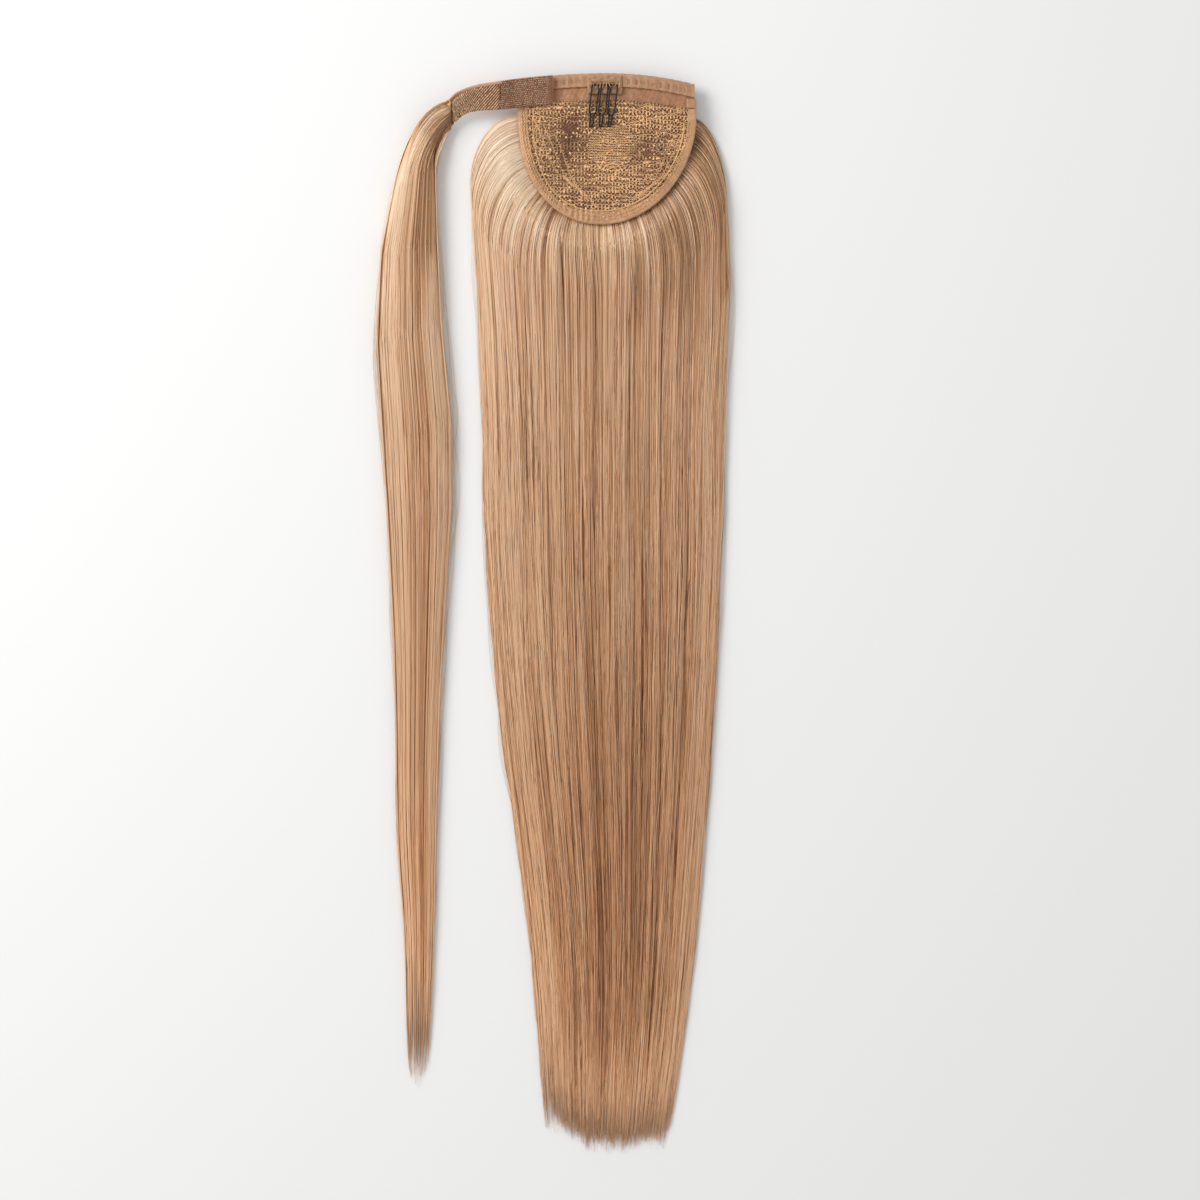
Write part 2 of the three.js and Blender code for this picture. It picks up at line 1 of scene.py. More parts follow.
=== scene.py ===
"""A wrap-around ponytail hairpiece, lying on a pale table with its lace lining facing up.

The hair is a closed body of combed hair with several thousand single strands laid over it. The base is a
lace panel with embroidered cords, bound and hemmed in satin, with a wire comb sewn to a tab. A hook-and-loop
strap leads to the slim tress that is wound round the finished ponytail.

Shapes are worked out in millimetres in the base's own frame: x across the base, y towards the band, z up.
"""

import math

import bmesh
import bpy
import numpy as np
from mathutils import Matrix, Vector


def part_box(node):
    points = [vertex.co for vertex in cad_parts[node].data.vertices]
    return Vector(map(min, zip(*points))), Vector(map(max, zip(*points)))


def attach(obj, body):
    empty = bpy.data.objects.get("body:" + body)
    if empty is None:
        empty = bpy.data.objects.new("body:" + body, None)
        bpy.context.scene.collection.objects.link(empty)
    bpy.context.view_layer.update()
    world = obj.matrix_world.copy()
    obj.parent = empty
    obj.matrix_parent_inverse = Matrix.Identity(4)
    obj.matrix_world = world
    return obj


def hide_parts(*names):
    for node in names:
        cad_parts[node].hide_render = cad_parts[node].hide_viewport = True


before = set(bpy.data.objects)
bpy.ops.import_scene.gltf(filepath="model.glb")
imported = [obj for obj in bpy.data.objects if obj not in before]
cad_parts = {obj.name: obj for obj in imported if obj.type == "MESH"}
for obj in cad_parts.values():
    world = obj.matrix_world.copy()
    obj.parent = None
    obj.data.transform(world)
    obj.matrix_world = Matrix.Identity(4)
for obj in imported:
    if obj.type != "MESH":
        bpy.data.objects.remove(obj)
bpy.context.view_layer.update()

MM = 0.001

# The base, as built
BASE_HALF_WIDTH = 49.0
BASE_HEIGHT = 82.5
SEAT_HEIGHT = 13.0
SIDE_DROOP = 3.2
END_DROOP = 2.4
FLAT_SHARE = 0.26
FOOT_SHIFT = -3.0
RIM_FULLNESS = (2.2, 1.95)
BAND_HEIGHT = 16.5
LACE_DROP = 14.0
TOP_BOW = (3.2, 6.0)
CLEARANCE = 0.3
BINDING_REACH = 3.9
BINDING_WIDER = 1.1
BINDING_FOOT_WIDER = 2.2
HEM_REACH = 6.5
TAB_WIDTH = 19.5
TAB_HEIGHT = 10.6
TAB_CENTRE = -1.2

# The strap and the comb
STRAP_REACH = 60.0
STRAP_WIDTH = 16.0
COMB_TEETH = 3
TOOTH_WIDTH = 3.7
TOOTH_GAP = 1.45
TOOTH_LENGTH = 23.4
TOOTH_TIP = 1.9
COMB_TOP = 5.6
COMB_LEAN = 2.6
WIRE = 0.9

# The hair
PIECE_LENGTH = 598.0
HAIR_REACH = 73.0
HAIR_HEIGHT = 15.5
WRAP_START = 14.0
WRAP_LENGTH = 553.0
WRAP_REACH = 72.0
WRAP_HEIGHT = 12.5
WRAP_ROOT = -88.0
TABLE_GAP = 0.35
# Corners of a strand's cross-section, how far apart two strands' streaks are read, and the share across from
# which the wrap tress's strands lie on its side walls
STRAND_SIDES = 3
LANE_STEP = 17.3
WRAP_SIDE_FROM = 0.955

# Shares of PIECE_LENGTH, HAIR_REACH and HAIR_HEIGHT down the long hair
LONG_HAIR = {
    "along": [.03, .0393, .0515, .0646, .0805, .0974, .13, .19, .29, .444, .622, .716, .846, .95, .98, 1],
    "left": [.67, .821, .913, .982, 1.028, 1.051, 1.047, 1.01, .959, .92, .806, .69, .56, .506, .487, .465],
    "right": [.65, .683, .76, .82, .867, .905, .936, .952, .905, .882, .813, .744, .644, .537, .5, .47],
    "rise": [.5, .62, .76, .86, .93, .97, 1, .95, .83, .68, .59, .54, .44, .27, .19, .12],
}
# Shares of WRAP_LENGTH, WRAP_REACH and WRAP_HEIGHT down the wrap tress, both sides leftwards from its root
WRAP_HAIR = {
    "along": [-.004, .004, .022, .0466, .0815, .1165, .195, .2876,
              .349, .466, .605, .744, .8425, .942, .975, 1],
    "left": [.05, .2, .279, .337, .429, .497, .567, .567, .528, .476, .427, .411, .353, .337, .325, .3],
    "right": [.0226, .03, .026, .108, .1, .095, .077, .015, -.024, .015, .073, .108, .124, .155, .17, .2],
    "rise": [.9, .97, 1, 1, .96, .92, .86, .78, .72, .63, .53, .43, .34, .22, .16, .1],
}

# Where the base's own origin, the middle of the band's top edge, lies in the frame
lace_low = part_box("lace_panel")[0]
OFFSET = np.array([lace_low.x / MM + BASE_HALF_WIDTH, lace_low.y / MM + BASE_HEIGHT, 0.0])


# Numbers and curves


class SmoothTable:
    """A smooth function through a table's values."""

    def __init__(self, xs, ys):
        self.xs, self.ys = np.array(xs, float), np.array(ys, float)
        self.slopes = np.gradient(self.ys, self.xs)

    def at(self, x):
        """The value at x, held at the table's ends."""
        x = np.clip(x, self.xs[0], self.xs[-1])
        i = np.clip(np.searchsorted(self.xs, x, side="right") - 1, 0, len(self.xs) - 2)
        width = self.xs[i + 1] - self.xs[i]
        t = (x - self.xs[i]) / width
        rest = 1 - t
        return (
            (1 + 2 * t) * rest**2 * self.ys[i]
            + t * rest**2 * width * self.slopes[i]
            + t**2 * (3 - 2 * t) * self.ys[i + 1]
            - t**2 * rest * width * self.slopes[i + 1]
        )


def ease(t):
    """Rises softly from 0 to 1 as t goes from 0 to 1."""
    t = np.clip(t, 0, 1)
    return t * t * (3 - 2 * t)


def mix(a, b, share):
    """The value that lies a share of the way from a to b."""
    return a + (b - a) * share


def rippled(rng, count, waves, x):
    """Smooth random ripples about 0 in height 1, one row for each of count, at the places x from 0 to 1."""
    total = np.zeros((count, len(x)))
    for wave in waves:
        size = rng.normal(0, 1 / math.sqrt(len(waves)), (count, 1))
        total += size * np.sin(2 * math.pi * (wave * x[None, :] + rng.random((count, 1))))
    return total


def soft_ridge(x, at, width):
    """A soft ridge of height 1 along a line."""
    return np.exp(-(((x - at) / width) ** 2))


def soft_spot(x, y, x_at, y_at, width, height):
    """A soft spot of height 1 round a place, with its two half widths."""
    return np.exp(-(((x - x_at) / width) ** 2) - ((y - y_at) / height) ** 2)


# Meshes


def new_piece(name, verts, faces, material, attributes=None):
    """A smooth mesh object from points in millimetres and groups of faces, each group of one face length."""
    mesh = bpy.data.meshes.new(name)
    points = (np.asarray(verts, float) + OFFSET) * MM
    corners = [np.asarray(group, np.int32) for group in faces if len(group)]
    mesh.vertices.add(len(points))
    mesh.vertices.foreach_set("co", points.astype(np.float32).ravel())
    loop_count = sum(group.size for group in corners)
    mesh.loops.add(loop_count)
    mesh.loops.foreach_set("vertex_index", np.concatenate([group.ravel() for group in corners]))
    sizes = np.concatenate([np.full(len(group), group.shape[1]) for group in corners])
    mesh.polygons.add(len(sizes))
    mesh.polygons.foreach_set("loop_start", (np.cumsum(sizes) - sizes).astype(np.int32))
    mesh.update(calc_edges=True)
    mesh.shade_smooth()
    for key, values in (attributes or {}).items():
        layer = mesh.attributes.new(key, "FLOAT", "POINT")
        layer.data.foreach_set("value", np.asarray(values, np.float32).ravel())
    mesh.materials.append(material)
    piece = bpy.data.objects.new(name, mesh)
    bpy.context.scene.collection.objects.link(piece)
    return piece


def tubes(paths, radii, sides=3, closed=False, spin=0.0):
    """Round tubes along paths of shape (tubes, points, 3). Gives their points and faces."""
    tiny, nearly_upright = 1e-9, 1e-3
    paths = np.asarray(paths, float)
    count, steps = paths.shape[:2]
    if closed:
        along = np.roll(paths, -1, 1) - np.roll(paths, 1, 1)
    else:
        along = np.gradient(paths, axis=1)
    along /= np.linalg.norm(along, axis=2, keepdims=True) + tiny
    side = np.cross(along, [0.0, 0.0, 1.0])
    steep = np.linalg.norm(side, axis=2, keepdims=True) < nearly_upright
    side = np.where(steep, np.cross(along, [1.0, 0.0, 0.0]), side)
    side /= np.linalg.norm(side, axis=2, keepdims=True) + tiny
    over = np.cross(side, along)
    radii = np.broadcast_to(np.asarray(radii, float), (count, steps))
    angles = spin + 2 * math.pi * np.arange(sides) / sides
    cosine, sine = (values[None, None, :, None] for values in (np.cos(angles), np.sin(angles)))
    ring = side[:, :, None] * cosine + over[:, :, None] * sine
    verts = (paths[:, :, None] + ring * radii[:, :, None, None]).reshape(-1, 3)
    index = np.arange(count * steps * sides).reshape(count, steps, sides)
    here = index if closed else index[:, :-1]
    there = np.roll(index, -1, 1) if closed else index[:, 1:]
    quads = np.stack([here, np.roll(here, -1, 2), np.roll(there, -1, 2), there], -1).reshape(-1, 4)
    if closed:
        return verts, [quads]
    caps = np.concatenate([index[:, 0, ::-1], index[:, -1]])
    return verts, [quads, caps]


def slab(top, bottom):
    """A closed sheet between two grids of points of one shape (columns, rows, 3)."""
    columns, rows = top.shape[:2]
    verts = np.concatenate([top.reshape(-1, 3), bottom.reshape(-1, 3)])
    up = np.arange(columns * rows).reshape(columns, rows)
    down = up + columns * rows
    quads = [
        np.stack([up[:-1, :-1], up[1:, :-1], up[1:, 1:], up[:-1, 1:]], -1).reshape(-1, 4),
        np.stack([down[:-1, :-1], down[:-1, 1:], down[1:, 1:], down[1:, :-1]], -1).reshape(-1, 4),
    ]
    loop = np.concatenate([up[:, 0], up[-1, 1:], up[-2::-1, -1], up[0, -2:0:-1]])
    below = loop + columns * rows
    quads.append(np.stack([below, np.roll(below, -1), np.roll(loop, -1), loop], -1))
    return verts, [np.concatenate(quads)]


def swept(rings):
    """A closed skin through rings of points of shape (rings, corners, 3)."""
    steps, sides = rings.shape[:2]
    verts = rings.reshape(-1, 3)
    index = np.arange(steps * sides).reshape(steps, sides)
    here, there = index[:-1], index[1:]
    quads = np.stack([here, np.roll(here, -1, 1), np.roll(there, -1, 1), there], -1).reshape(-1, 4)
    return verts, [quads, index[0][None, ::-1], index[-1][None, :]]


def faces_outwards(piece):
    """Turns the faces of a closed piece outwards."""
    edit = bmesh.new()
    edit.from_mesh(piece.data)
    bmesh.ops.recalc_face_normals(edit, faces=edit.faces)
    edit.to_mesh(piece.data)
    edit.free()
    return piece


def placed(piece, node):
    """Puts a piece on the part's only body, in place of a node's solid."""
    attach(piece, "root")
    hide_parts(node)
    return piece


# The base's surface and edges


def seat_height(x, y):
    """Height of the lace's underside: level in the middle, drooping to the edges."""
    across = np.maximum(0, np.abs(x / BASE_HALF_WIDTH) - FLAT_SHARE) / (1 - FLAT_SHARE)
    along = np.maximum(0, np.abs(y / (BASE_HEIGHT / 2) + 1) - FLAT_SHARE) / (1 - FLAT_SHARE)
    return SEAT_HEIGHT - SIDE_DROOP * across**2 - END_DROOP * along**2


def top_edge(x):
    """The band's top edge, bowed down to both ends."""
    bow = np.where(x < 0, TOP_BOW[0], TOP_BOW[1])
    return -bow * (x / BASE_HALF_WIDTH) ** 2


def lace_top(x):
    """The lace's upper edge."""
    return top_edge(x) - LACE_DROP


def rim_point(t):
    """The lace's curved edge, t running from its left corner round the foot to its right corner."""
    t = np.asarray(t, float)
    left = t < 0.5
    corner = np.where(left, -BASE_HALF_WIDTH, BASE_HALF_WIDTH)
    corner_y = top_edge(corner) - BAND_HEIGHT - 2 * CLEARANCE
    power = 2 / np.where(left, RIM_FULLNESS[0], RIM_FULLNESS[1])
    across = np.abs(np.cos(math.pi * t)) ** power
    down = np.abs(np.sin(math.pi * t)) ** power
    return np.stack([mix(FOOT_SHIFT, corner, across), mix(corner_y, -BASE_HEIGHT, down)], -1)


def rim_outward(t):
    """The direction straight out of the rim."""
    small = 2e-3
    step = rim_point(np.clip(t + small, 0, 1)) - rim_point(np.clip(t - small, 0, 1))
    step /= np.linalg.norm(step, axis=-1, keepdims=True)
    return np.stack([step[..., 1], -step[..., 0]], -1)


def rim_distance(x, y):
    """About how far a place lies outside the rim, below 0 inside it."""
    left = x < FOOT_SHIFT
    width = np.where(left, BASE_HALF_WIDTH + FOOT_SHIFT, BASE_HALF_WIDTH - FOOT_SHIFT)
    power = np.where(left, RIM_FULLNESS[0], RIM_FULLNESS[1])
    corner_y = np.where(left, -TOP_BOW[0], -TOP_BOW[1]) - BAND_HEIGHT
    across = np.abs(x - FOOT_SHIFT) / width
    down = np.maximum(0, corner_y - y) / (BASE_HEIGHT + corner_y)
    reach = (across**power + down**power) ** (1 / power)
    return (reach - 1) * 0.5 * (width + BASE_HEIGHT + corner_y)


# Hair


class HairFlow:
    """Where a head of hair lies: its two sides and its height, by the distance down it."""

    def __init__(self, table, start, length, reach, height, origin, rightwards):
        self.start, self.length = start, length
        self.tables = {key: SmoothTable(table["along"], table[key]) for key in ("left", "right", "rise")}
        self.reach, self.height, self.origin, self.rightwards = reach, height, origin, rightwards

    def along(self, y):
        """Share of the hair's length, from its start to its tips."""
        return (-y - self.start) / self.length

    def sides(self, y):
        """Where the hair's left and right side lie."""
        s = self.along(y)
        left = self.origin - self.reach * self.tables["left"].at(s)
        right = self.origin + self.rightwards * self.reach * self.tables["right"].at(s)
        return left, right

    def x_at(self, u, y):
        """The place at a share across, u running from -1 at the left side to 1 at the right side."""
        left, right = self.sides(y)
        return mix(left, right, (u + 1) / 2)

    def across(self, x, y):
        """The share across of a place, the inverse of x_at."""
        left, right = self.sides(y)
        return 2 * (x - left) / (right - left) - 1

    def top(self, u, y):
        """The hair's upper surface: a low mound, rounded down to both sides."""
        mound = (1 - np.minimum(np.abs(u), 0.995) ** 3.2) ** 0.55
        edge_height = 0.12
        return self.height * self.tables["rise"].at(self.along(y)) * (edge_height + (1 - edge_height) * mound)


LONG_FLOW = HairFlow(LONG_HAIR, 0.0, PIECE_LENGTH, HAIR_REACH, HAIR_HEIGHT, 0.0, 1)
WRAP_FLOW = HairFlow(WRAP_HAIR, WRAP_START, WRAP_LENGTH, WRAP_REACH, WRAP_HEIGHT, WRAP_ROOT, -1)

# Deep partings of the long hair: place across, where it opens and closes down the hair, width and depth
PARTINGS = [
    {"at": -0.315, "opens": 0.12, "closes": 0.28, "width": 0.009, "depth": 2.2},
    {"at": 0.33, "opens": 0.4, "closes": 0.9, "width": 0.011, "depth": 1.3},
    {"at": 0.71, "opens": 0.33, "closes": 0.86, "width": 0.013, "depth": 1.4},
    {"at": 0.215, "opens": 0.22, "closes": 0.52, "width": 0.01, "depth": 1.3},
    {"at": 0.52, "opens": 0.55, "closes": 0.97, "width": 0.011, "depth": 1.1},
    {"at": -0.12, "opens": 0.55, "closes": 0.9, "width": 0.01, "depth": 0.8},
    {"at": -0.42, "opens": 0.68, "closes": 0.97, "width": 0.011, "depth": 0.8},
]


def parting_depth(u, s):
    """How far the partings sink the long hair's surface."""
    total = np.zeros(np.broadcast(u, s).shape)
    for parting in PARTINGS:
        opening = ease((s - parting["opens"]) / 0.06) * ease((parting["closes"] - s) / 0.12)
        total = total + parting["depth"] * opening * soft_ridge(u, parting["at"], parting["width"])
    return total


def long_surface(x, y):
    """Upper surface of the long hair, sunk under the base and rising from the rim."""
    under_lace, rise_from, rise_over = 2.4, -3, 17
    u = LONG_FLOW.across(x, y)
    top = LONG_FLOW.top(u, y) - parting_depth(u, LONG_FLOW.along(y))
    rise = ease((rim_distance(x, y) - rise_from) / rise_over)
    return mix(np.minimum(seat_height(x, y) - under_lace, top), top, rise)


def wrap_surface(x, y):
    """Upper surface of the wrap tress."""
    return WRAP_FLOW.top(WRAP_FLOW.across(x, y), y)


def bezier(start, first, second, end, t):
    """Points on curves between start and end, drawn towards first and second on the way."""
    t = t[None, :, None]
    start, first, second, end = (p[:, None, :] for p in (start, first, second, end))
    return (1 - t) ** 3 * start + 3 * t * (1 - t) ** 2 * first + 3 * t**2 * (1 - t) * second + t**3 * end


def clumped(rng, u, fall_steps, clumps, pull):
    """How strands gather in clumps on their way down: the change of place across, and each strand's clump."""
    wander = 0.016
    centres = np.sort(rng.uniform(-1, 1, clumps))
    nearest = np.abs(u[:, None] - centres[None, :]).argmin(1)
    share = np.linspace(0, 1, fall_steps)
    drift = rippled(rng, clumps, (0.6, 1.3, 2.1), share)[nearest] * wander
    own = rippled(rng, len(u), (1.1, 2.3, 3.7), share) * wander
    gather = pull * (1 - 0.7 * u[:, None] ** 6) * ease(share * 1.3)[None, :]
    shift = (centres[nearest] - u)[:, None] * gather + (drift + own) * ease(share * 3)[None, :]
    return shift, nearest


def flow_paths(flow, u, root, outward, pull, join, bend_steps, shift, tip):
    """Level paths of strands: out of the root, round a bend, and down the flow to the tip.

    u is each strand's place across the hair and shift how it changes on the way down. pull is the length of
    the first straight stretch, join how far below the root the bend ends, and tip the share of the hair's
    length where the strand ends."""
    even = np.linspace(0, 1, shift.shape[1])
    share = mix(even**1.12, 1 - (1 - even) ** 1.5, even)
    end_y = -(flow.start + flow.length * tip)
    join_y = root[:, 1] - join
    y = mix(join_y[:, None], end_y[:, None], share[None, :])
    fall = np.stack([flow.x_at(np.clip(u[:, None] + shift, -1.02, 1.02), y), y], -1)
    end = fall[:, 0]
    heading = fall[:, 1] - fall[:, 0]
    heading /= np.linalg.norm(heading, axis=1, keepdims=True)
    reach = np.linalg.norm(end - root, axis=1, keepdims=True)
    straight = root + outward * pull[:, None]
    run_in = end - heading * reach * 0.36
    bend = bezier(root, straight, run_in, end, np.linspace(0, 1, bend_steps + 1)[:-1])
    return np.concatenate([bend, fall], 1)


def raised(level, height):
    """Gives level places their height."""
    return np.concatenate([level, height[..., None]], -1)


def long_roots(u):
    """Where the long hair's strands leave the rim, and the way they head."""
    crowding = 1.15
    reach = np.minimum(np.abs(u) * 1.008, 1)
    t = np.arccos(-np.sign(u) * reach ** (1 / crowding)) / math.pi
    return rim_point(t), rim_outward(t)


def long_bend(u):
    """How far the long hair runs straight out of the rim, and how far below it the bend ends."""
    corner = np.abs(u) ** 8
    corner_pull = np.where(u < 0, 21, 12)
    return mix(15, corner_pull, corner), mix(46, 42, corner)


def strand_radii(rng, count, steps):
    """Each strand keeps its own thickness and tapers over its last stretch."""
    thinnest, thickest = 0.14, 0.26
    base = rng.uniform(thinnest, thickest, (count, 1))
    taper = np.interp(np.linspace(0, 1, steps), [0, 0.93, 1], [1, 0.9, 0.3])
    return base * taper[None, :]


def strand_piece(name, node, material, paths, radii, tone, deep):
    """Joins strands into one piece, with their tone and place for the hair's colour, and their depth for its
    painted shade.

    tone is one value for each strand, or one for each of its points. Hairs that lie loose beside the solid
    replace no node."""
    count, steps = paths.shape[:2]
    shape = (count, steps, STRAND_SIDES)
    verts, faces = tubes(paths, radii, sides=STRAND_SIDES, spin=math.pi / 2)
    tone = tone if tone.ndim == 2 else tone[:, None]
    attributes = {
        "tone": np.broadcast_to(tone[..., None], shape),
        "along": np.broadcast_to(np.linspace(0, 1, steps)[None, :, None], shape),
        "deep": np.broadcast_to(deep[:, None, None], shape),
        "lane": np.broadcast_to(LANE_STEP * np.arange(count)[:, None, None], shape),
    }
    piece = new_piece(name, verts, faces, material, attributes=attributes)
    add_strand_strips(piece, count, steps)
    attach(piece, "root")
    if node:
        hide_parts(node)


def add_strand_strips(piece, count, steps):
    """Lays each strand in a strip of its own in the UV map, sixteen times as high as it is wide."""
    mesh = piece.data
    columns = math.ceil(math.sqrt(count) * 4)
    rows = math.ceil(count / columns)
    corner = np.empty(len(mesh.loops), np.int32)
    mesh.loops.foreach_get("vertex_index", corner)
    strand, rest = np.divmod(corner, steps * STRAND_SIDES)
    step, side = np.divmod(rest, STRAND_SIDES)
    u = (strand % columns + 0.25 + 0.25 * side) / columns
    v = (strand // columns + 0.05 + 0.9 * step / (steps - 1)) / rows
    layer = mesh.uv_layers.new(name="OFBake")
    layer.data.foreach_set("uv", np.stack([u, v], -1).astype(np.float32).ravel())


def long_tone_and_painted_light(u, s):
    """Broad changes of tone, mostly painted light and shade: lighter edges, left shoulder, rim foot and tips;
    darker right of the rim and in the partings; darker low down, partly own colour.
    """
    # Painted light on the thin edges, most of all the left one, where light would come through the hair
    edges = 0.34 * ease((np.abs(u) - 0.66) / 0.34) + 0.28 * ease(-u * 2 - 0.3)
    upper = 1 - ease((s - 0.12) / 0.16)
    corner = 1 - ease((s - 0.06) / 0.07)
    # Painted light on the left shoulder, and painted shadow of the base right of the rim
    painted_shoulder_light_and_shadow = 0.95 * corner * ease((-u - 0.45) / 0.35) - 0.4 * upper * ease((u - 0.2) / 0.4)
    right_shade = -0.3 * soft_spot(u, s, 0.27, 0.2, 0.07, 0.045)
    left_shade = -0.22 * soft_spot(u, s, -0.22, 0.21, 0.06, 0.06)
    # Painted highlight just below the rim's foot, and painted shade on the upper stretch near the base
    foot = 0.3 * soft_ridge(u, 0.06, 0.22) * (1 - ease((s - 0.13) / 0.04)) - 0.14 * upper
    # Darker low down: partly the hair's own colour, partly painted shade
    lower = ease((s - 0.45) / 0.35) * (1 - ease((s - 0.88) / 0.08))
    # Painted light at the tips, in the wisps and low on the right edge, where light would come through thin
    # hair
    tips = 0.36 * ease((s - 0.86) / 0.12) + 0.3 * ease((s - 0.94) / 0.05)
    tips = tips + 0.4 * wispy_share(u) * ease((s - 0.8) / 0.12)
    tips = tips + 0.16 * ease((u - 0.5) / 0.3) * ease((s - 0.55) / 0.2)
    # Painted shade in the partings, added to the darker spots and the darker low stretch
    shades = right_shade + left_shade - 0.34 * lower * (1 - 0.7 * u**2) - 0.3 * parting_depth(u, s)
    return edges + painted_shoulder_light_and_shadow + foot + shades + tips


def wispy_share(u):
    """Where the long hair ends in thin wisps: at its left corner and, narrower, at its right one."""
    return np.maximum(ease((-u - 0.6) / 0.3), ease((u - 0.8) / 0.2))


def long_tips(rng, u):
    """Where each strand of the long hair ends, as a share of its length: ragged, most of all in the wisps."""
    count, wispy = len(u), wispy_share(u)
    ragged = np.abs(rng.normal(0, 0.005, count))
    ragged = ragged + rng.random(count) ** mix(1.5, 0.8, wispy) * mix(0.035, 0.085, wispy)
    few_short = rng.random(count) ** 8 * 0.12
    cut = 1.004 - 0.016 * ease((-u - 0.2) / 0.8) - 0.004 * ease((u - 0.5) / 0.5)
    return cut - ragged - few_short


def long_heights(rng, level, radii, clump, clumps, depth):
    """Heights of the long hair's strands: at the surface or under it, by their depth, and above the table."""
    down = np.linspace(0, 1, level.shape[1])
    clump_lift = rippled(rng, clumps, (0.7, 1.6), down)[clump] * 0.32 * ease(down * 4)[None, :]
    height = long_surface(level[..., 0], level[..., 1]) + clump_lift - depth[:, None]
    return np.maximum(height, TABLE_GAP + radii + rng.random((len(level), 1)) * 0.8)


def long_strand_tones(rng, u, s, clump, clumps):
    """Tones of the long hair's strands: their own, their clump's, and the place's painted light and shade.
    Some roots get painted shade, where the rim shades them.
    """
    count, steps = s.shape
    streaks = 0.1 * rippled(rng, 1, (53, 83, 121, 173), (u + 1) / 2)[0]
    tone = 0.62 + rng.normal(0, 0.38, count) + rng.normal(0, 0.12, clumps)[clump] + streaks
    painted_root_shade = rng.uniform(0, 1.1, clumps)[clump] ** 2
    near_root = 1 - ease(np.linspace(0, 1, steps) * 6)
    return tone[:, None] + long_tone_and_painted_light(u[:, None], s) - painted_root_shade[:, None] * near_root[None, :]


def long_strands(material):
    """The strands over the long hair, in three pieces."""
    rng = np.random.default_rng(11)
    count, pieces, clumps, bend_steps, fall_steps = 3700, 3, 150, 11, 10
    u = rng.permutation(np.linspace(-0.993, 0.993, count)) + rng.normal(0, 0.003, count)
    u = np.clip(u, -0.996, 0.996)
    root, outward = long_roots(u)
    root = root - outward * rng.uniform(2.0, 4.0, count)[:, None]
    pull, join = long_bend(u)
    tip = long_tips(rng, u)
    shift, clump = clumped(rng, u, fall_steps, clumps, 0.22)
    tip = np.minimum(tip + rng.normal(0, 0.004, clumps)[clump], 1.01)
    join = join + rng.normal(0, 2.5, count) * (1 - 0.7 * np.abs(u) ** 8)
    level = flow_paths(LONG_FLOW, u, root, outward, pull, join, bend_steps, shift, tip)
    radii = strand_radii(rng, count, bend_steps + fall_steps)
    depth = np.abs(rng.normal(0, 0.55, count))
    paths = raised(level, long_heights(rng, level, radii, clump, clumps, depth))
    tone = long_strand_tones(rng, u, LONG_FLOW.along(level[..., 1]), clump, clumps)
    # Deeper strands get painted shade
    deep = np.clip(depth / 2.2, 0, 1)
    for i, chosen in enumerate(np.array_split(np.arange(count), pieces)):
        strand_piece(f"long_strands_{i + 1}", "ponytail_hair", material, paths[chosen], radii[chosen],
                     tone[chosen], deep[chosen])


def loose_stretch(rng, count, share, starts, lengths, last):
    """The stretch of the hair's length that each of some loose hairs follows."""
    start = rng.uniform(*starts, count)
    length = np.minimum(rng.uniform(*lengths, count), last - start)
    return start[:, None] + length[:, None] * share[None, :]


def long_strays(material):
    """Fine single hairs that wander over the long hair."""
    rng = np.random.default_rng(17)
    count, steps, radius = 120, 18, 0.1
    share = np.linspace(0, 1, steps)
    s = loose_stretch(rng, count, share, (0.14, 0.8), (0.15, 0.5), 0.99)
    wander = rng.normal(0, 0.07, count)[:, None] * share[None, :]
    wander = wander + rippled(rng, count, (0.7, 1.5), share) * 0.022
    u = np.clip(rng.uniform(-0.93, 0.93, count)[:, None] + wander, -0.99, 0.99)
    y = -PIECE_LENGTH * s
    x = LONG_FLOW.x_at(u, y)
    z = long_surface(x, y) + rng.uniform(0.3, 0.9, (count, 1)) * np.sin(math.pi * share)[None, :] ** 0.5 - 0.2
    paths, radii = np.stack([x, y, z], -1), np.full((count, steps), radius)
    tone = rng.uniform(0.3, 1.1, count)
    strand_piece("long_strays", "ponytail_hair", material, paths, radii, tone, np.zeros(count))


def long_flyaways(material):
    """Loose single hairs beside the long hair's edges."""
    rng = np.random.default_rng(23)
    count, steps, radius, low = 90, 26, 0.09, 0.8
    side = rng.choice([-1, 1], count)
    u = side * rng.uniform(0.9, 1.0, count)
    share = np.linspace(0, 1, steps)
    middle = np.sin(math.pi * share)[None, :]
    s = loose_stretch(rng, count, share, (0.12, 0.8), (0.08, 0.3), 0.985)
    out = rng.uniform(0.008, 0.045, count)[:, None] * middle**1.3
    wave = rippled(rng, count, (0.7, 1.4), share) * 0.008
    y = -PIECE_LENGTH * s
    x = LONG_FLOW.x_at(u[:, None] + side[:, None] * out + wave, y)
    on_hair = LONG_FLOW.x_at(np.clip(u, -0.97, 0.97)[:, None], y)
    z = mix(np.maximum(long_surface(on_hair, y) * 0.6, 0.7), low, middle)
    paths, radii = np.stack([x, y, z], -1), np.full((count, steps), radius)
    tone = rng.uniform(0.5, 1, count)
    strand_piece("long_flyaways", None, material, paths, radii, tone, np.zeros(count))


def body_columns(count, reach):
    """Places across for the columns of a body of hair, closer together towards its sides."""
    bend = 1.3
    return reach * np.sin(bend * np.linspace(-1, 1, count)) / math.sin(bend)


def body_piece(name, node, material, top, bottom, lane, ridges, along, tone):
    """A closed body of hair with ridges, with the attributes that its colour needs."""
    shape = top.shape[:2]
    verts, faces = slab(top, bottom)
    # Painted shade: lower tone in the grooves between ridges, and a fixed depth that darkens the whole body
    values = {"tone": 0.5 + 0.1 * ridges + 0.7 * tone, "lane": lane, "along": along, "deep": 0.6}
    attributes = {key: np.tile(np.broadcast_to(value, shape).ravel(), 2) for key, value in values.items()}
    piece = faces_outwards(new_piece(name, verts, faces, material, attributes=attributes))
    placed(piece, node)


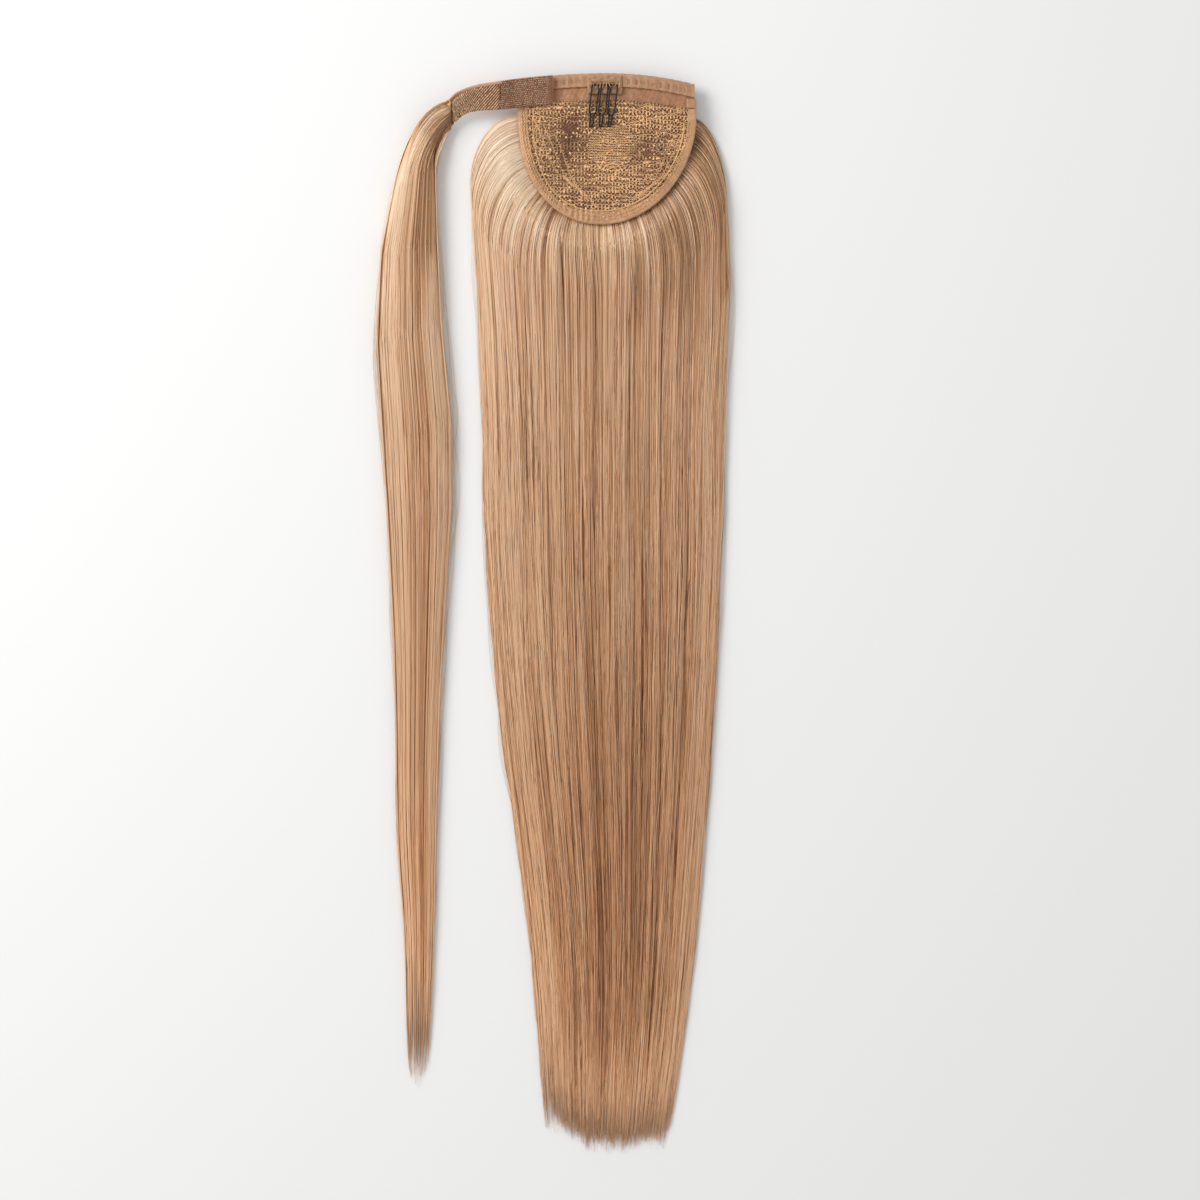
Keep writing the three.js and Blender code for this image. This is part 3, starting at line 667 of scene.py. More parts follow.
def long_body(material):
    """The closed body of combed hair under the long strands. Its columns run the way the strands do."""
    rng = np.random.default_rng(5)
    columns, bend_steps, fall_steps = 161, 12, 36
    under_strands, ridge_height = 0.95, 0.26
    u = body_columns(columns, 0.992)
    v = (u + 1) / 2
    root, outward = long_roots(u)
    pull, join = long_bend(u)
    tip = 0.972 + 0.007 * rippled(rng, 1, (9, 17, 31, 57), v)[0] - 0.05 * wispy_share(u)
    level = flow_paths(LONG_FLOW, u, root - outward * 1.5, outward, pull, join, bend_steps,
                       np.zeros((columns, fall_steps)), tip)
    down = np.linspace(0, 1, bend_steps + fall_steps)[None, :]
    strength = 0.6 + 0.4 * np.sin(7 * down + 5 * u[:, None])
    ridges = rippled(rng, 1, (37, 61, 83, 24), v)[0][:, None] * strength
    thinner = mix(1.0, 0.5, ease((down - 0.95) / 0.05))
    top = (long_surface(level[..., 0], level[..., 1]) - under_strands + ridge_height * ridges) * thinner
    top = np.maximum(top, TABLE_GAP + 0.5)
    bottom = np.minimum(TABLE_GAP + 0.12 * (1 + ridges), top - 0.3)
    tone = long_tone_and_painted_light(u[:, None], LONG_FLOW.along(level[..., 1]))
    body_piece("long_body", "ponytail_hair", material, raised(level, top), raised(level, bottom),
               u[:, None] * HAIR_REACH, ridges, down, tone)


def under_base_body(material):
    """The hair that fills the space under the lace."""
    columns, rows = 61, 25
    below_seat = 3.0
    edge = rim_point(np.linspace(0.03, 0.97, columns))[:, None]
    share = np.linspace(0, 1, rows)[None, :]
    x = np.broadcast_to(edge[..., 0], (columns, rows))
    y = mix(edge[..., 1], lace_top(edge[..., 0]) - 3.5, share)
    ridges = np.sin(x * 1.9) * 0.5 + np.sin(x * 3.1 + 1) * 0.4
    top = np.stack([x, y, seat_height(x, y) - below_seat + 0.3 * ridges], -1)
    bottom = np.stack([x, y, TABLE_GAP + 0.3 + 0.15 * ridges], -1)
    body_piece("base_underside_body", "ponytail_hair", material, top, bottom, x, ridges, 0.02, 0.0)


def under_base_strands(material):
    """Short strands of the hair sewn under the lace, seen from behind and from the sides."""
    rng = np.random.default_rng(31)
    count, steps, radius, length, below_seat, lowest = 320, 7, 0.4, 44, 2.6, 0.7
    share = np.linspace(0, 1, steps)
    x0 = rng.uniform(-46, 46, count)
    y0 = top_edge(x0) - rng.uniform(15.5, 21, count)
    y = y0[:, None] - length * share[None, :]
    x = x0[:, None] * (1 + 0.16 * share[None, :]) + rippled(rng, count, (0.5,), share) * 1.2
    room = seat_height(x, y) - below_seat
    height = rng.uniform(0.1, 1, count) ** 0.7
    z = np.maximum(room * height[:, None], 0.8) - share[None, :] * 0.8
    paths = np.stack([x, y, np.maximum(z, lowest)], -1)
    strand_piece("base_underside_hair", "ponytail_hair", material, paths, np.full((count, steps), radius),
                 0.4 + rng.normal(0, 0.12, count), rng.uniform(0.3, 0.9, count))


def wrap_root(v):
    """The seam that the wrap tress hangs from, v running from its upper end to its lower end."""
    return on_strap(0.962, mix(0.97, -1.0, v), 2.1)


def wrap_bend(v):
    """How the wrap tress leaves its seam: its heading, its first straight stretch and where its bend ends."""
    outward = np.stack([np.full(len(v), -1.0), mix(-0.05, -1.3, v)], -1)
    outward /= np.linalg.norm(outward, axis=1, keepdims=True)
    return outward, mix(17, 3.5, v), mix(46, 25, v)


def wrap_underside(top, down):
    """The tress's lower surface: thin at the seam, then down to the table."""
    return np.maximum(TABLE_GAP, top - mix(0.8, 14.0, ease(down * 1.6)))


def wrap_painted_light_and_shade(u, s):
    """Painted light and shade on the tress: shade at the roots and in the fold high on the inner side; light
    down the left edge, low at the right, at the tips and on the sides.
    """
    # Painted light down the thin left edge, where light would come through the hair
    painted_light_left = 0.4 * ease((-u - 0.1) / 0.6) * ease((s - 0.03) / 0.06)
    # Painted shade high up on the inner side, where the tress folds
    inner = -0.4 * soft_ridge(u, 0.42, 0.36) * (1 - ease((s - 0.12) / 0.1))
    # Painted light low at the thin right edge
    painted_light_right = 0.95 * ease((u - 0.35) / 0.4) * ease((s - 0.12) / 0.1) * (1 - 0.5 * ease((s - 0.5) / 0.3))
    # Painted shade at the roots, where the strap shades them
    roots = -0.95 * (1 - ease((s + 0.01) / 0.06)) * (0.3 + 0.7 * ease((u + 0.8) / 1.1))
    # Painted light at the tips, and a little lighter over the middle stretch
    tips = 0.5 * ease((s - 0.8) / 0.14) + 0.14 * ease((s - 0.14) / 0.1) * (1 - ease((s - 0.6) / 0.2))
    # Painted light on the strands down the side walls, which lie in shade
    sides = 0.6 * (np.abs(u) > WRAP_SIDE_FROM)
    return painted_light_left + inner + painted_light_right + roots + tips + sides


def wrap_heights(rng, u, level, seam, radii, clump, clumps, depth):
    """Heights of the tress's strands: over its top, or on its side walls, and above the table."""
    down = np.linspace(0, 1, level.shape[1])
    start = ease(down * 2.4)[None, :]
    surface = mix(seam[:, 2:] + 0.9, wrap_surface(level[..., 0], level[..., 1]), start)
    lift = rippled(rng, clumps, (0.7, 1.6), down)[clump] * 0.4 * start
    inner = mix(seam[:, 2:] + 0.4, WRAP_FLOW.top(0.88 * u[:, None], level[..., 1]), start)
    wall = mix(wrap_underside(inner, down), inner, rng.random((len(u), 1)))
    beside = np.abs(u)[:, None] > WRAP_SIDE_FROM
    return np.maximum(np.where(beside, wall, surface + lift - depth[:, None]), TABLE_GAP + radii)


def wrap_strands(material):
    """The strands over the wrap tress and down its sides."""
    rng = np.random.default_rng(47)
    count, clumps, bend_steps, fall_steps = 1000, 30, 10, 11
    side_from = 0.96
    u = rng.permutation(np.linspace(-1.12, 1.12, count))
    beside = np.sign(u) * (0.957 + 0.15 * (np.abs(u) - side_from))
    u = np.where(np.abs(u) > side_from, beside, u)
    v = (u + 1) / 2
    seam = wrap_root(np.clip(v + rng.normal(0, 0.04, count), 0, 1))
    root = seam[:, :2] + np.stack([rng.uniform(-0.6, 0.6, count), rng.normal(0, 0.3, count)], -1)
    outward, pull, join = wrap_bend(v)
    tip = 1.0 - rng.random(count) ** 0.65 * 0.15 - 0.01 * np.abs(u) ** 2
    shift, clump = clumped(rng, u, fall_steps, clumps, 0.3)
    join = join + rng.normal(0, 1.5, count)
    level = flow_paths(WRAP_FLOW, u, root, outward, pull, join, bend_steps, shift, tip)
    radii = strand_radii(rng, count, bend_steps + fall_steps)
    depth = np.abs(rng.normal(0, 0.6, count))
    paths = raised(level, wrap_heights(rng, u, level, seam, radii, clump, clumps, depth))
    tone = 0.6 + rng.normal(0, 0.32, count) + rng.normal(0, 0.08, clumps)[clump]
    tone = tone[:, None] + wrap_painted_light_and_shade(u[:, None], WRAP_FLOW.along(level[..., 1]))
    strand_piece("wrap_strands", "wrap_hair", material, paths, radii, tone, np.clip(depth / 2, 0, 1))


def wrap_body(material):
    """The closed body of combed hair inside the wrap tress."""
    rng = np.random.default_rng(53)
    columns, bend_steps, fall_steps = 61, 12, 36
    under_strands, ridge_height, half_width = 1.0, 0.26, 25
    u = body_columns(columns, 0.95)
    v = (u + 1) / 2
    seam = wrap_root(v)
    outward, pull, join = wrap_bend(v)
    tip = 0.9 - 0.04 * np.abs(u) ** 2 + 0.014 * rippled(rng, 1, (5, 9), v)[0]
    level = flow_paths(WRAP_FLOW, u, seam[:, :2], outward, pull, join, bend_steps,
                       np.zeros((columns, fall_steps)), tip)
    down = np.linspace(0, 1, bend_steps + fall_steps)[None, :]
    strength = 0.6 + 0.4 * np.sin(11 * down + 4 * u[:, None])
    ridges = rippled(rng, 1, (11, 17, 27), v)[0][:, None] * strength
    surface = wrap_surface(level[..., 0], level[..., 1]) - under_strands + ridge_height * ridges
    top = mix(seam[:, 2:] - 0.2, surface, ease(down * 2.4))
    top = np.maximum(top * mix(1.0, 0.5, ease((down - 0.94) / 0.06)), TABLE_GAP + 0.5)
    bottom = np.clip(wrap_underside(top, down), TABLE_GAP, top - 0.3)
    tone = wrap_painted_light_and_shade(u[:, None], WRAP_FLOW.along(level[..., 1]))
    body_piece("wrap_body", "wrap_hair", material, raised(level, top), raised(level, bottom),
               u[:, None] * half_width, ridges, down, tone)


def wrap_flyaways(material):
    """Loose single hairs beside the wrap tress, more of them at its right."""
    rng = np.random.default_rng(59)
    count, steps, radius = 46, 24, 0.085
    side = rng.choice([-1, 1], count, p=[0.35, 0.65])
    share = np.linspace(0, 1, steps)
    middle = np.sin(math.pi * share)[None, :]
    s = loose_stretch(rng, count, share, (0.05, 0.75), (0.1, 0.34), 0.98)
    out = (rng.uniform(0.05, 0.3, count) * np.where(side < 0, 0.5, 1))[:, None] * middle**1.4
    wave = rippled(rng, count, (0.7, 1.4), share) * 0.04
    y = -(WRAP_START + WRAP_LENGTH * s)
    x = WRAP_FLOW.x_at(side[:, None] * (0.93 + out) + wave, y)
    z = mix(3.0, 0.9, middle) * np.ones((count, 1))
    paths, radii = np.stack([x, y, z], -1), np.full((count, steps), radius)
    tone = rng.uniform(0.5, 1, count)
    strand_piece("wrap_flyaways", None, material, paths, radii, tone, np.zeros(count))


# The base


def relief(x, y):
    """Soft unevenness of the sewn base, the gathers at its foot among it."""
    uneven = 0.22 * np.sin(x * 0.31 + 1.3 * np.sin(y * 0.17)) * np.sin(y * 0.27 + 0.8 * np.sin(x * 0.13))
    gathered = 0.6 * soft_ridge(x, -14, 8) * ease((-y - 58) / 14) * np.sin(x * 2.1)
    return uneven + gathered


def on_base(x, y, lift):
    """Points above the lace's underside, by their height over it."""
    return np.stack(np.broadcast_arrays(x, y, seat_height(x, y) + relief(x, y) + lift), -1)


def cloth_piece(name, node, material, shape):
    """A closed piece of cloth from its points and faces, the faces turned outwards."""
    return placed(faces_outwards(new_piece(name, *shape, material)), node)


def thread_piece(name, node, material, runs, radius, sides=3, shade=None):
    """Threads of different lengths as one piece. Each run is an array of points and its tone."""
    verts, faces, tones, start = [], [], [], 0
    for points, tone in runs:
        run_verts, run_faces = tubes(points[None], radius, sides=sides)
        verts.append(run_verts)
        faces += [group + start for group in run_faces]
        tones.append(np.full(len(run_verts), tone))
        start += len(run_verts)
    quads = [group for group in faces if group.shape[1] == 4]
    caps = [group for group in faces if group.shape[1] != 4]
    groups = [np.concatenate(group) for group in (quads, caps) if group]
    verts, tones = np.concatenate(verts), np.concatenate(tones)
    if shade is not None:
        tones = tones + shade(verts[:, 0], verts[:, 1])
    return placed(new_piece(name, verts, groups, material, attributes={"tone": tones}), node)


# Darker and lighter parts of the lace: x, y, half width, half height and change of tone
LACE_SHADES = [
    (-23, -36, 9, 13, -0.42), (-16, -23, 8, 6, -0.34), (21, -42, 15, 6, -0.26),
    (-30, -50, 6, 6, -0.22), (8, -57, 18, 9, 0.22), (30, -24, 12, 6, 0.26),
    (-38, -24, 6, 8, 0.14), (5, -42, 12, 9, 0.16), (37, -35, 7, 8, 0.18),
]
# Places where the net shows without cords: x, y, half width, half height
BARE_PATCHES = [(-20, -30, 4, 3), (-23, -46, 3, 3), (23, -44, 3, 2)]
# The lace's cords: length of a loop, half its width, height over the cloth, tone
CORDS = {
    "rows": (1.95, 0.78, 1.15, 0.74),
    "ribs": (1.3, 0.38, 1.0, 0.8),
    "arches": (1.3, 0.4, 1.45, 0.7),
    "rings": (1.2, 0.45, 1.5, 0.62),
    "arcs": (1.7, 0.7, 1.5, 0.72),
}
# The lace's embroidered rings: x, y
RINGS = [(-39.2, -23.5), (-38.4, -30.6), (-37.8, -38.6), (-30, -35.8), (-34.5, -47), (31, -32), (36, -39)]
RING_RADIUS = 2.3


def lace_shade(x, y):
    """How much darker or lighter the lace's threads are at a place."""
    total = 0.1 * np.sin(x * 0.71 + 2 * np.sin(y * 0.37)) * np.sin(y * 0.53 + np.sin(x * 0.29))
    for cx, cy, width, height, change in LACE_SHADES:
        total = total + change * soft_spot(x, y, cx, cy, width, height)
    return total


def inside_lace(x, y, margin):
    """Whether a place lies inside the rim, by a margin, and below the lace's upper edge."""
    return (rim_distance(x, y) < -margin) & (y < lace_top(x) - 0.2)


def runs_inside(points, keep, shortest=4):
    """The stretches of a line of points where keep holds."""
    edges = np.flatnonzero(np.diff(np.concatenate([[0], keep.astype(int), [0]])))
    return [points[a:b] for a, b in zip(edges[::2], edges[1::2]) if b - a >= shortest]


def lace_ground(material):
    """The brown cloth that carries the lace's threads."""
    columns, rows, top, bottom = 97, 33, 0.62, 0.1
    edge = rim_point(np.linspace(0.004, 0.996, columns))[:, None]
    share = np.linspace(0, 1, rows)[None, :]
    x = np.broadcast_to(edge[..., 0], (columns, rows))
    y = mix(edge[..., 1], lace_top(edge[..., 0]), share)
    shape = slab(on_base(x, y, top), on_base(x, y, bottom))
    return cloth_piece("lace_ground", "lace_panel", material, shape)


def lace_net(material):
    """Two families of slanting threads that cross into small diamonds."""
    rng = np.random.default_rng(71)
    pitch, slope, step, radius, lift, margin = 1.55, math.radians(40), 0.78, 0.2, 0.82, 2.5
    s = np.arange(-100, 100, step)
    runs = []
    for direction in (1, -1):
        along = np.array([math.cos(slope), direction * math.sin(slope)])
        across = np.array([-along[1], along[0]])
        for offset in np.arange(-90, 90, pitch):
            line = np.array([0, -50]) + across * offset + s[:, None] * along
            x, y = line[:, 0], line[:, 1]
            weave = 0.16 * np.cos(math.pi * s / pitch * 1.02 + (direction > 0) * math.pi)
            points = on_base(x + rng.normal(0, 0.05, len(x)), y, lift + weave)
            tone = 0.46 + rng.normal(0, 0.05)
            runs += [(run, tone) for run in runs_inside(points, inside_lace(x, y, margin))]
    return thread_piece("lace_net", "lace_panel", material, runs, radius, shade=lace_shade)


def cords_cover(x, y):
    """Whether cords lie at a place, everywhere but in the bare patches."""
    bare = np.zeros(np.shape(x), bool)
    ragged = 1 + 0.35 * np.sin(x * 1.1) * np.sin(y * 1.3)
    for cx, cy, width, height in BARE_PATCHES:
        bare |= ((x - cx) / width) ** 2 + ((y - cy) / height) ** 2 < ragged
    return ~bare


def in_middle(x, y):
    """The lace's middle, where its rows are ribbed."""
    return ((x - 3) / 14) ** 2 + ((y + 40) / 12) ** 2 < 1


def in_looped_rows(x, y):
    """Where the looped rows run: round the middle."""
    return cords_cover(x, y) & ~in_middle(x, y)


def in_ribbed_rows(x, y):
    """Where the ribbed rows run: at the middle."""
    return cords_cover(x, y) & in_middle(x, y)


def looped_cord(rng, x, y, pitch, size, lift):
    """Turns a line into a cord of small loops, like a crocheted chain."""
    step = np.hypot(np.diff(x), np.diff(y))
    s = np.concatenate([[0], np.cumsum(step)])
    fine = np.arange(0, s[-1], pitch / 8)
    x, y = np.interp(fine, s, x), np.interp(fine, s, y)
    heading = np.arctan2(np.gradient(y), np.gradient(x))
    knots = np.arange(0, s[-1] + 4, 3)
    wobble = np.interp(fine, knots, rng.uniform(0.5, 1.45, len(knots)))
    turn = 2 * math.pi * fine / pitch
    forward = size * 0.75 * np.sin(turn) * wobble
    sideways = size * np.cos(turn) * wobble
    x = x + forward * np.cos(heading) - sideways * np.sin(heading)
    y = y + forward * np.sin(heading) + sideways * np.cos(heading)
    height = lift + 0.22 * np.sin(turn + 0.8) + 0.2 * (wobble - 1)
    return x, y, height


def cord_runs(rng, kind, x, y, where=None):
    """A line turned into a looped cord, cut to the stretches that lie inside the lace."""
    pitch, size, lift, tone = CORDS[kind]
    x, y, height = looped_cord(rng, x, y, pitch, size, lift)
    keep = inside_lace(x, y, 2.2)
    if where is not None:
        keep &= where(x, y)
    return [(run, tone + rng.normal(0, 0.07)) for run in runs_inside(on_base(x, y, height), keep, 5)]


def row_cords(rng):
    """Wavy looped rows over the whole lace, and closer ribbed rows at its middle."""
    runs = []
    for row, y0 in enumerate(np.arange(-16.5, -80, -2.45)):
        x = np.linspace(-48, 48, 240)
        y = y0 + 0.55 * np.sin(x * 0.23 + row * 1.9) + 0.35 * np.sin(x * 0.61 + row)
        runs += cord_runs(rng, "rows", x, y, in_looped_rows)
    for row, y0 in enumerate(np.arange(-26, -54, -1.35)):
        x = np.linspace(-14, 20, 90)
        y = y0 + 0.25 * np.sin(x * 0.5 + row)
        runs += cord_runs(rng, "ribs", x, y, in_ribbed_rows)
    return runs


def figure_cords(rng):
    """Arches at the foot of the ribbed middle, rings, and arcs down both sides."""
    runs = []
    for radius in (3.2, 5.6, 8.0):
        angle = np.linspace(0.1, 0.9, 40) * math.pi
        runs += cord_runs(rng, "arches", 3 + radius * np.cos(angle), -55 + radius * np.sin(angle))
    for cx, cy in RINGS:
        angle = np.linspace(0, 2 * math.pi, 40)
        runs += cord_runs(rng, "rings", cx + RING_RADIUS * np.cos(angle), cy + RING_RADIUS * np.sin(angle))
    for side, reach in ((-1, 30), (1, 34)):
        s = np.linspace(0, 1, 120)
        for shift in (0, 6, 12):
            x = 3 + side * (8 + shift + (reach - 6) * s)
            y = -74 + shift * 0.8 + 40 * s**1.5 + 2 * np.sin(s * 9)
            runs += cord_runs(rng, "arcs", x, y)
    return runs


def rim_cords(rng):
    """Cords over the binding, down the lace's left side."""
    pitch, size, lift = 1.9, 0.5, 1.85
    runs = []
    for inset in (0.9, 2.3, 3.8):
        t = np.linspace(0.0, 0.37 - 0.03 * inset, 160)
        place = rim_point(t) - rim_outward(t) * inset
        x, y, height = looped_cord(rng, place[:, 0], place[:, 1], pitch, size, lift)
        runs.append((on_base(x, y, height), 0.7 + rng.normal(0, 0.05)))
    return runs


def lace_cords(material):
    """The embroidered cords: looped rows, ribbed rows at the middle, arches, rings and arcs."""
    rng = np.random.default_rng(73)
    runs = row_cords(rng) + figure_cords(rng) + rim_cords(rng)
    return thread_piece("lace_cords", "lace_panel", material, runs, 0.28, shade=lace_shade)


def lace_knots(material):
    """Little knots along the cords."""
    rng = np.random.default_rng(79)
    tries, most, corners, sides, radius = 1500, 560, 6, 4, 0.3
    x = rng.uniform(-46, 46, tries)
    y = -16 - 2.35 * np.round(rng.uniform(0, 27, tries)) + rng.normal(0, 0.25, tries)
    keep = inside_lace(x, y, 3.0) & cords_cover(x, y)
    x, y = x[keep][:most, None], y[keep][:most, None]
    count = len(x)
    angle = np.linspace(0, 2 * math.pi, corners + 1)[None, :-1] + rng.uniform(0, 6, (count, 1))
    size = rng.uniform(0.16, 0.36, (count, 1))
    tilt = rng.normal(0, 0.25, (count, 1))
    points = on_base(x + size * np.cos(angle), y + size * np.sin(angle), 1.45 + tilt * np.sin(angle))
    verts, faces = tubes(points, radius, sides=sides, closed=True)
    attributes = {"tone": np.repeat(rng.normal(0.85, 0.14, count), corners * sides)}
    piece = new_piece("lace_knots", verts, faces, material, attributes=attributes)
    return placed(piece, "lace_panel")


def stitch(start, end, height):
    """A thread that goes over from one hole to the next: its points and how far it rises at each."""
    share = np.array([0, 0.2, 0.5, 0.8, 1])
    points = mix(np.array(start)[None, :], np.array(end)[None, :], share[:, None])
    return points, height * np.array([-0.25, 0.7, 1, 0.7, -0.25])


def sewn(rng, start, end, lift, height):
    """A stitch on the base, with its tone."""
    points, rise = stitch(start, end, height)
    return on_base(points[:, 0], points[:, 1], lift + rise), 0.8 + rng.normal(0, 0.12)


# Sewn rows round the rim: distance in from it, how much more at the left end, and height over the seat
RIM_SEAMS = [(1.6, 0.4, 1.75), (3.4, 1.0, 1.6), (5.4, 1.8, 1.6)]


def base_stitches(material):
    """Yellow sewing threads: three rows round the rim, two along the lace's upper edge."""
    rng = np.random.default_rng(83)
    runs = []
    for inset, wider, lift in RIM_SEAMS:
        t = np.linspace(0.02, 0.985, 84)
        extra = wider * (1 - ease(t / 0.3))
        place = rim_point(t) - rim_outward(t) * (inset + extra)[:, None]
        for a, b in zip(place[:-1], place[1:]):
            start = a + rng.normal(0, 0.18, 2)
            end = a + (b - a) * 0.62 + rng.normal(0, 0.12, 2)
            runs.append(sewn(rng, start, end, lift, 0.4))
    for x in np.arange(-30, 45, 1.9):
        y = float(lace_top(x))
        start = (x, y - 1.3 + rng.normal(0, 0.15))
        end = (x + 1.1, y + 0.35 + rng.normal(0, 0.2))
        runs.append(sewn(rng, start, end, 1.3, 0.5))
    for x in np.arange(-44, 44, 2.6):
        y = float(lace_top(x)) - 1.9 + rng.normal(0, 0.2)
        runs.append(sewn(rng, (x, y), (x + 1.7, y + rng.normal(0, 0.2)), 1.35, 0.45))
    return thread_piece("base_stitches", "lace_panel", material, runs, 0.19)


def binding_extra(t):
    """The binding is wider at its left end and at the foot."""
    return BINDING_WIDER * (1 - ease(t / 0.2)) + BINDING_FOOT_WIDER * soft_ridge(t, 0.52, 0.15)


def edge_cord(material):
    """The raised seam that runs beside the binding."""
    radius, sides, points = 0.42, 5, 420
    t = np.linspace(0.01, 0.97, points)
    inset = 5.6 + 1.9 * (1 - ease(t / 0.3)) + 0.9 * soft_ridge(t, 0.52, 0.15)
    place = rim_point(t) - rim_outward(t) * inset[:, None]
    lift = 1.35 + 0.12 * np.sin(t * 700)
    cord = on_base(place[:, 0], place[:, 1], lift)
    return thread_piece("edge_cord", "lace_panel", material, [(cord, 0.6)], radius, sides=sides)


# Cross-section of the rim binding: distance in from the rim, as a share of its reach, and height
BINDING_SECTION = np.array([
    (1.0, 0.9), (0.99, 1.22), (0.9, 1.4), (0.72, 1.44), (0.56, 1.4), (0.42, 1.5), (0.25, 1.62),
    (0.08, 1.7), (-0.1, 1.55), (-0.21, 1.2), (-0.26, 0.6), (-0.22, -0.4), (-0.12, -1.05),
    (0.1, -1.25), (0.5, -1.2), (0.86, -1.1), (0.88, -0.55), (0.1, -0.5), (0.02, 0.3), (0.1, 1.2),
])
# How far the binding's two ends run on past the rim's corners
BINDING_LEFT_END = np.array([[0, 2.9], [0, 1.9], [0, 0.9]])
BINDING_RIGHT_END = np.array([[0, 1.4], [0, 2.9], [0, 4.3]])


def rim_binding(material):
    """The satin tape that is folded over the lace's curved edge and runs on past its corners."""
    t = np.linspace(0.0, 1.0, 301)
    edge, outward = rim_point(t), rim_outward(t)
    edge = np.concatenate([edge[:1] + BINDING_LEFT_END, edge, edge[-1:] + BINDING_RIGHT_END])
    outward = np.concatenate([outward[:1]] * 3 + [outward] + [outward[-1:]] * 3)
    t = np.concatenate([[0] * 3, t, [1] * 3])
    arc = np.concatenate([[0], np.cumsum(np.linalg.norm(np.diff(edge, axis=0), axis=1))])
    inset, rise = BINDING_SECTION[None, :, 0], BINDING_SECTION[None, :, 1]
    reach = (BINDING_REACH + binding_extra(t))[:, None] * inset
    reach = np.where(inset < 0.15, BINDING_REACH * inset, reach)
    pucker = np.sin(2 * math.pi * arc / 3.7 + 1.2 * np.sin(arc * 0.31))[:, None]
    on_top = (rise > 1.21) & (inset > 0)
    height = rise + 0.17 * pucker * on_top * np.sin(math.pi * np.clip(inset, 0, 1))
    x = edge[:, None, 0] - outward[:, None, 0] * (reach + 0.06 * pucker)
    y = edge[:, None, 1] - outward[:, None, 1] * (reach + 0.06 * pucker)
    edge_seat = seat_height(edge[:, 0], edge[:, 1])[:, None]
    z = np.where(inset > 0.15, seat_height(x, y), edge_seat) + height + 0.7 * relief(x, y) * on_top
    return cloth_piece("rim_binding_satin", "rim_binding", material, swept(np.stack([x, y, z], -1)))


def satin_band(material):
    """The satin strip above the lace, slightly wrinkled."""
    columns, rows, thickness, below_seat = 125, 21, 0.55, 0.42
    x = np.linspace(-33.0, 49.0, columns)[:, None]
    y = top_edge(x) - mix(BAND_HEIGHT, 0.3, np.linspace(0, 1, rows)[None, :])
    x = np.broadcast_to(x, y.shape)
    wrinkle = 0.26 * np.sin(x * 0.9 + y * 0.5) * np.sin(y * 0.6 + x * 0.21) + 0.07 * np.sin(x * 2.3 - y * 1.1)
    dent = -0.5 * soft_spot(x, y, -15.5, -11.5, 2.6, 2.5)
    top = np.stack([x, y, seat_height(x, y) - below_seat + wrinkle + dent], -1)
    shape = slab(top, top - np.array([0, 0, thickness]))
    return cloth_piece("satin_band_cloth", "satin_band", material, shape)


# Cross-section of the top hem: distance down from the band's top edge and height
HEM_SECTION = np.array([
    (6.45, 0.1), (6.5, 0.6), (6.2, 0.92), (5.6, 0.88), (4.8, 0.7), (3.9, 0.6), (3.0, 0.6),
    (2.1, 0.68), (1.3, 0.85), (0.6, 1.0), (-0.2, 1.0), (-0.9, 0.6), (-1.25, -0.1), (-1.3, -1.1),
    (-0.9, -2.1), (0.1, -2.5), (2.5, -2.5), (5.4, -2.5), (6.0, -2.2), (5.4, -1.75), (1.0, -1.7),
    (0.5, -1.1), (0.6, -0.2), (3.0, -0.05), (5.9, -0.02),
])
# Cross-section of the side hem: distance in from the band's right end and height
SIDE_HEM_SECTION = np.array([
    (-0.8, -0.2), (-0.95, 0.3), (-0.4, 0.62), (1.0, 0.55), (2.5, 0.62), (3.7, 0.8), (4.2, 0.75), (4.5, 0.2),
    (4.35, -0.2), (4.0, 0.1), (-0.1, 0.1), (-0.3, -0.4), (0.2, -1.2), (0.2, -1.6), (-0.5, -1.3),
])
HEM_STITCH_PITCH = 4.5


def hem_pucker(x):
    """Scallops where the ladder stitches pull the hem in."""
    return np.cos(2 * math.pi * x / HEM_STITCH_PITCH + 0.7 * np.sin(x * 0.33))


def top_hem(material):
    """The folded hem along the band's top edge."""
    x = np.linspace(-31.1, 49.0, 271)[:, None]
    down, rise = HEM_SECTION[None, :, 0], HEM_SECTION[None, :, 1]
    pucker = hem_pucker(x)
    middle = np.where(rise > 0.3, np.sin(math.pi * np.clip(down / HEM_REACH, 0, 1)), 0)
    fine = 0.05 * np.sin(x * 5.1 + 2 * np.sin(x * 0.7))
    z = rise + (0.26 * pucker + fine) * middle - 0.1 * middle
    y = top_edge(x) - down - np.where(down > 5, 0.12 * pucker, 0) + np.where(down < 0, 0.08 * pucker, 0)
    x = np.broadcast_to(x, y.shape)
    seat = seat_height(x, np.minimum(y, top_edge(x)))
    return cloth_piece("top_hem_satin", "top_hem", material, swept(np.stack([x, y, seat + z], -1)))


def hem_stitches(material):
    """Pairs of ladder stitches across the hem, but for the stretch under the comb's tab."""
    rng = np.random.default_rng(89)
    tab_from, tab_to = -12, 9.5
    runs = []
    for x in np.arange(-28.5, 48, HEM_STITCH_PITCH):
        if tab_from < x < tab_to:
            continue
        for shift in (-0.35, 0.35):
            edge = float(top_edge(x))
            start, end = (x + shift, edge - 1.5), (x + shift + rng.normal(0, 0.12), edge - 5.2)
            points, rise = stitch(start, end, 0.12)
            z = seat_height(points[:, 0], points[:, 1]) + 0.5 + rise
            runs.append((np.stack([points[:, 0], points[:, 1], z], -1), 0.5 + rng.normal(0, 0.06)))
    return thread_piece("hem_stitches", "top_hem", material, runs, 0.13)


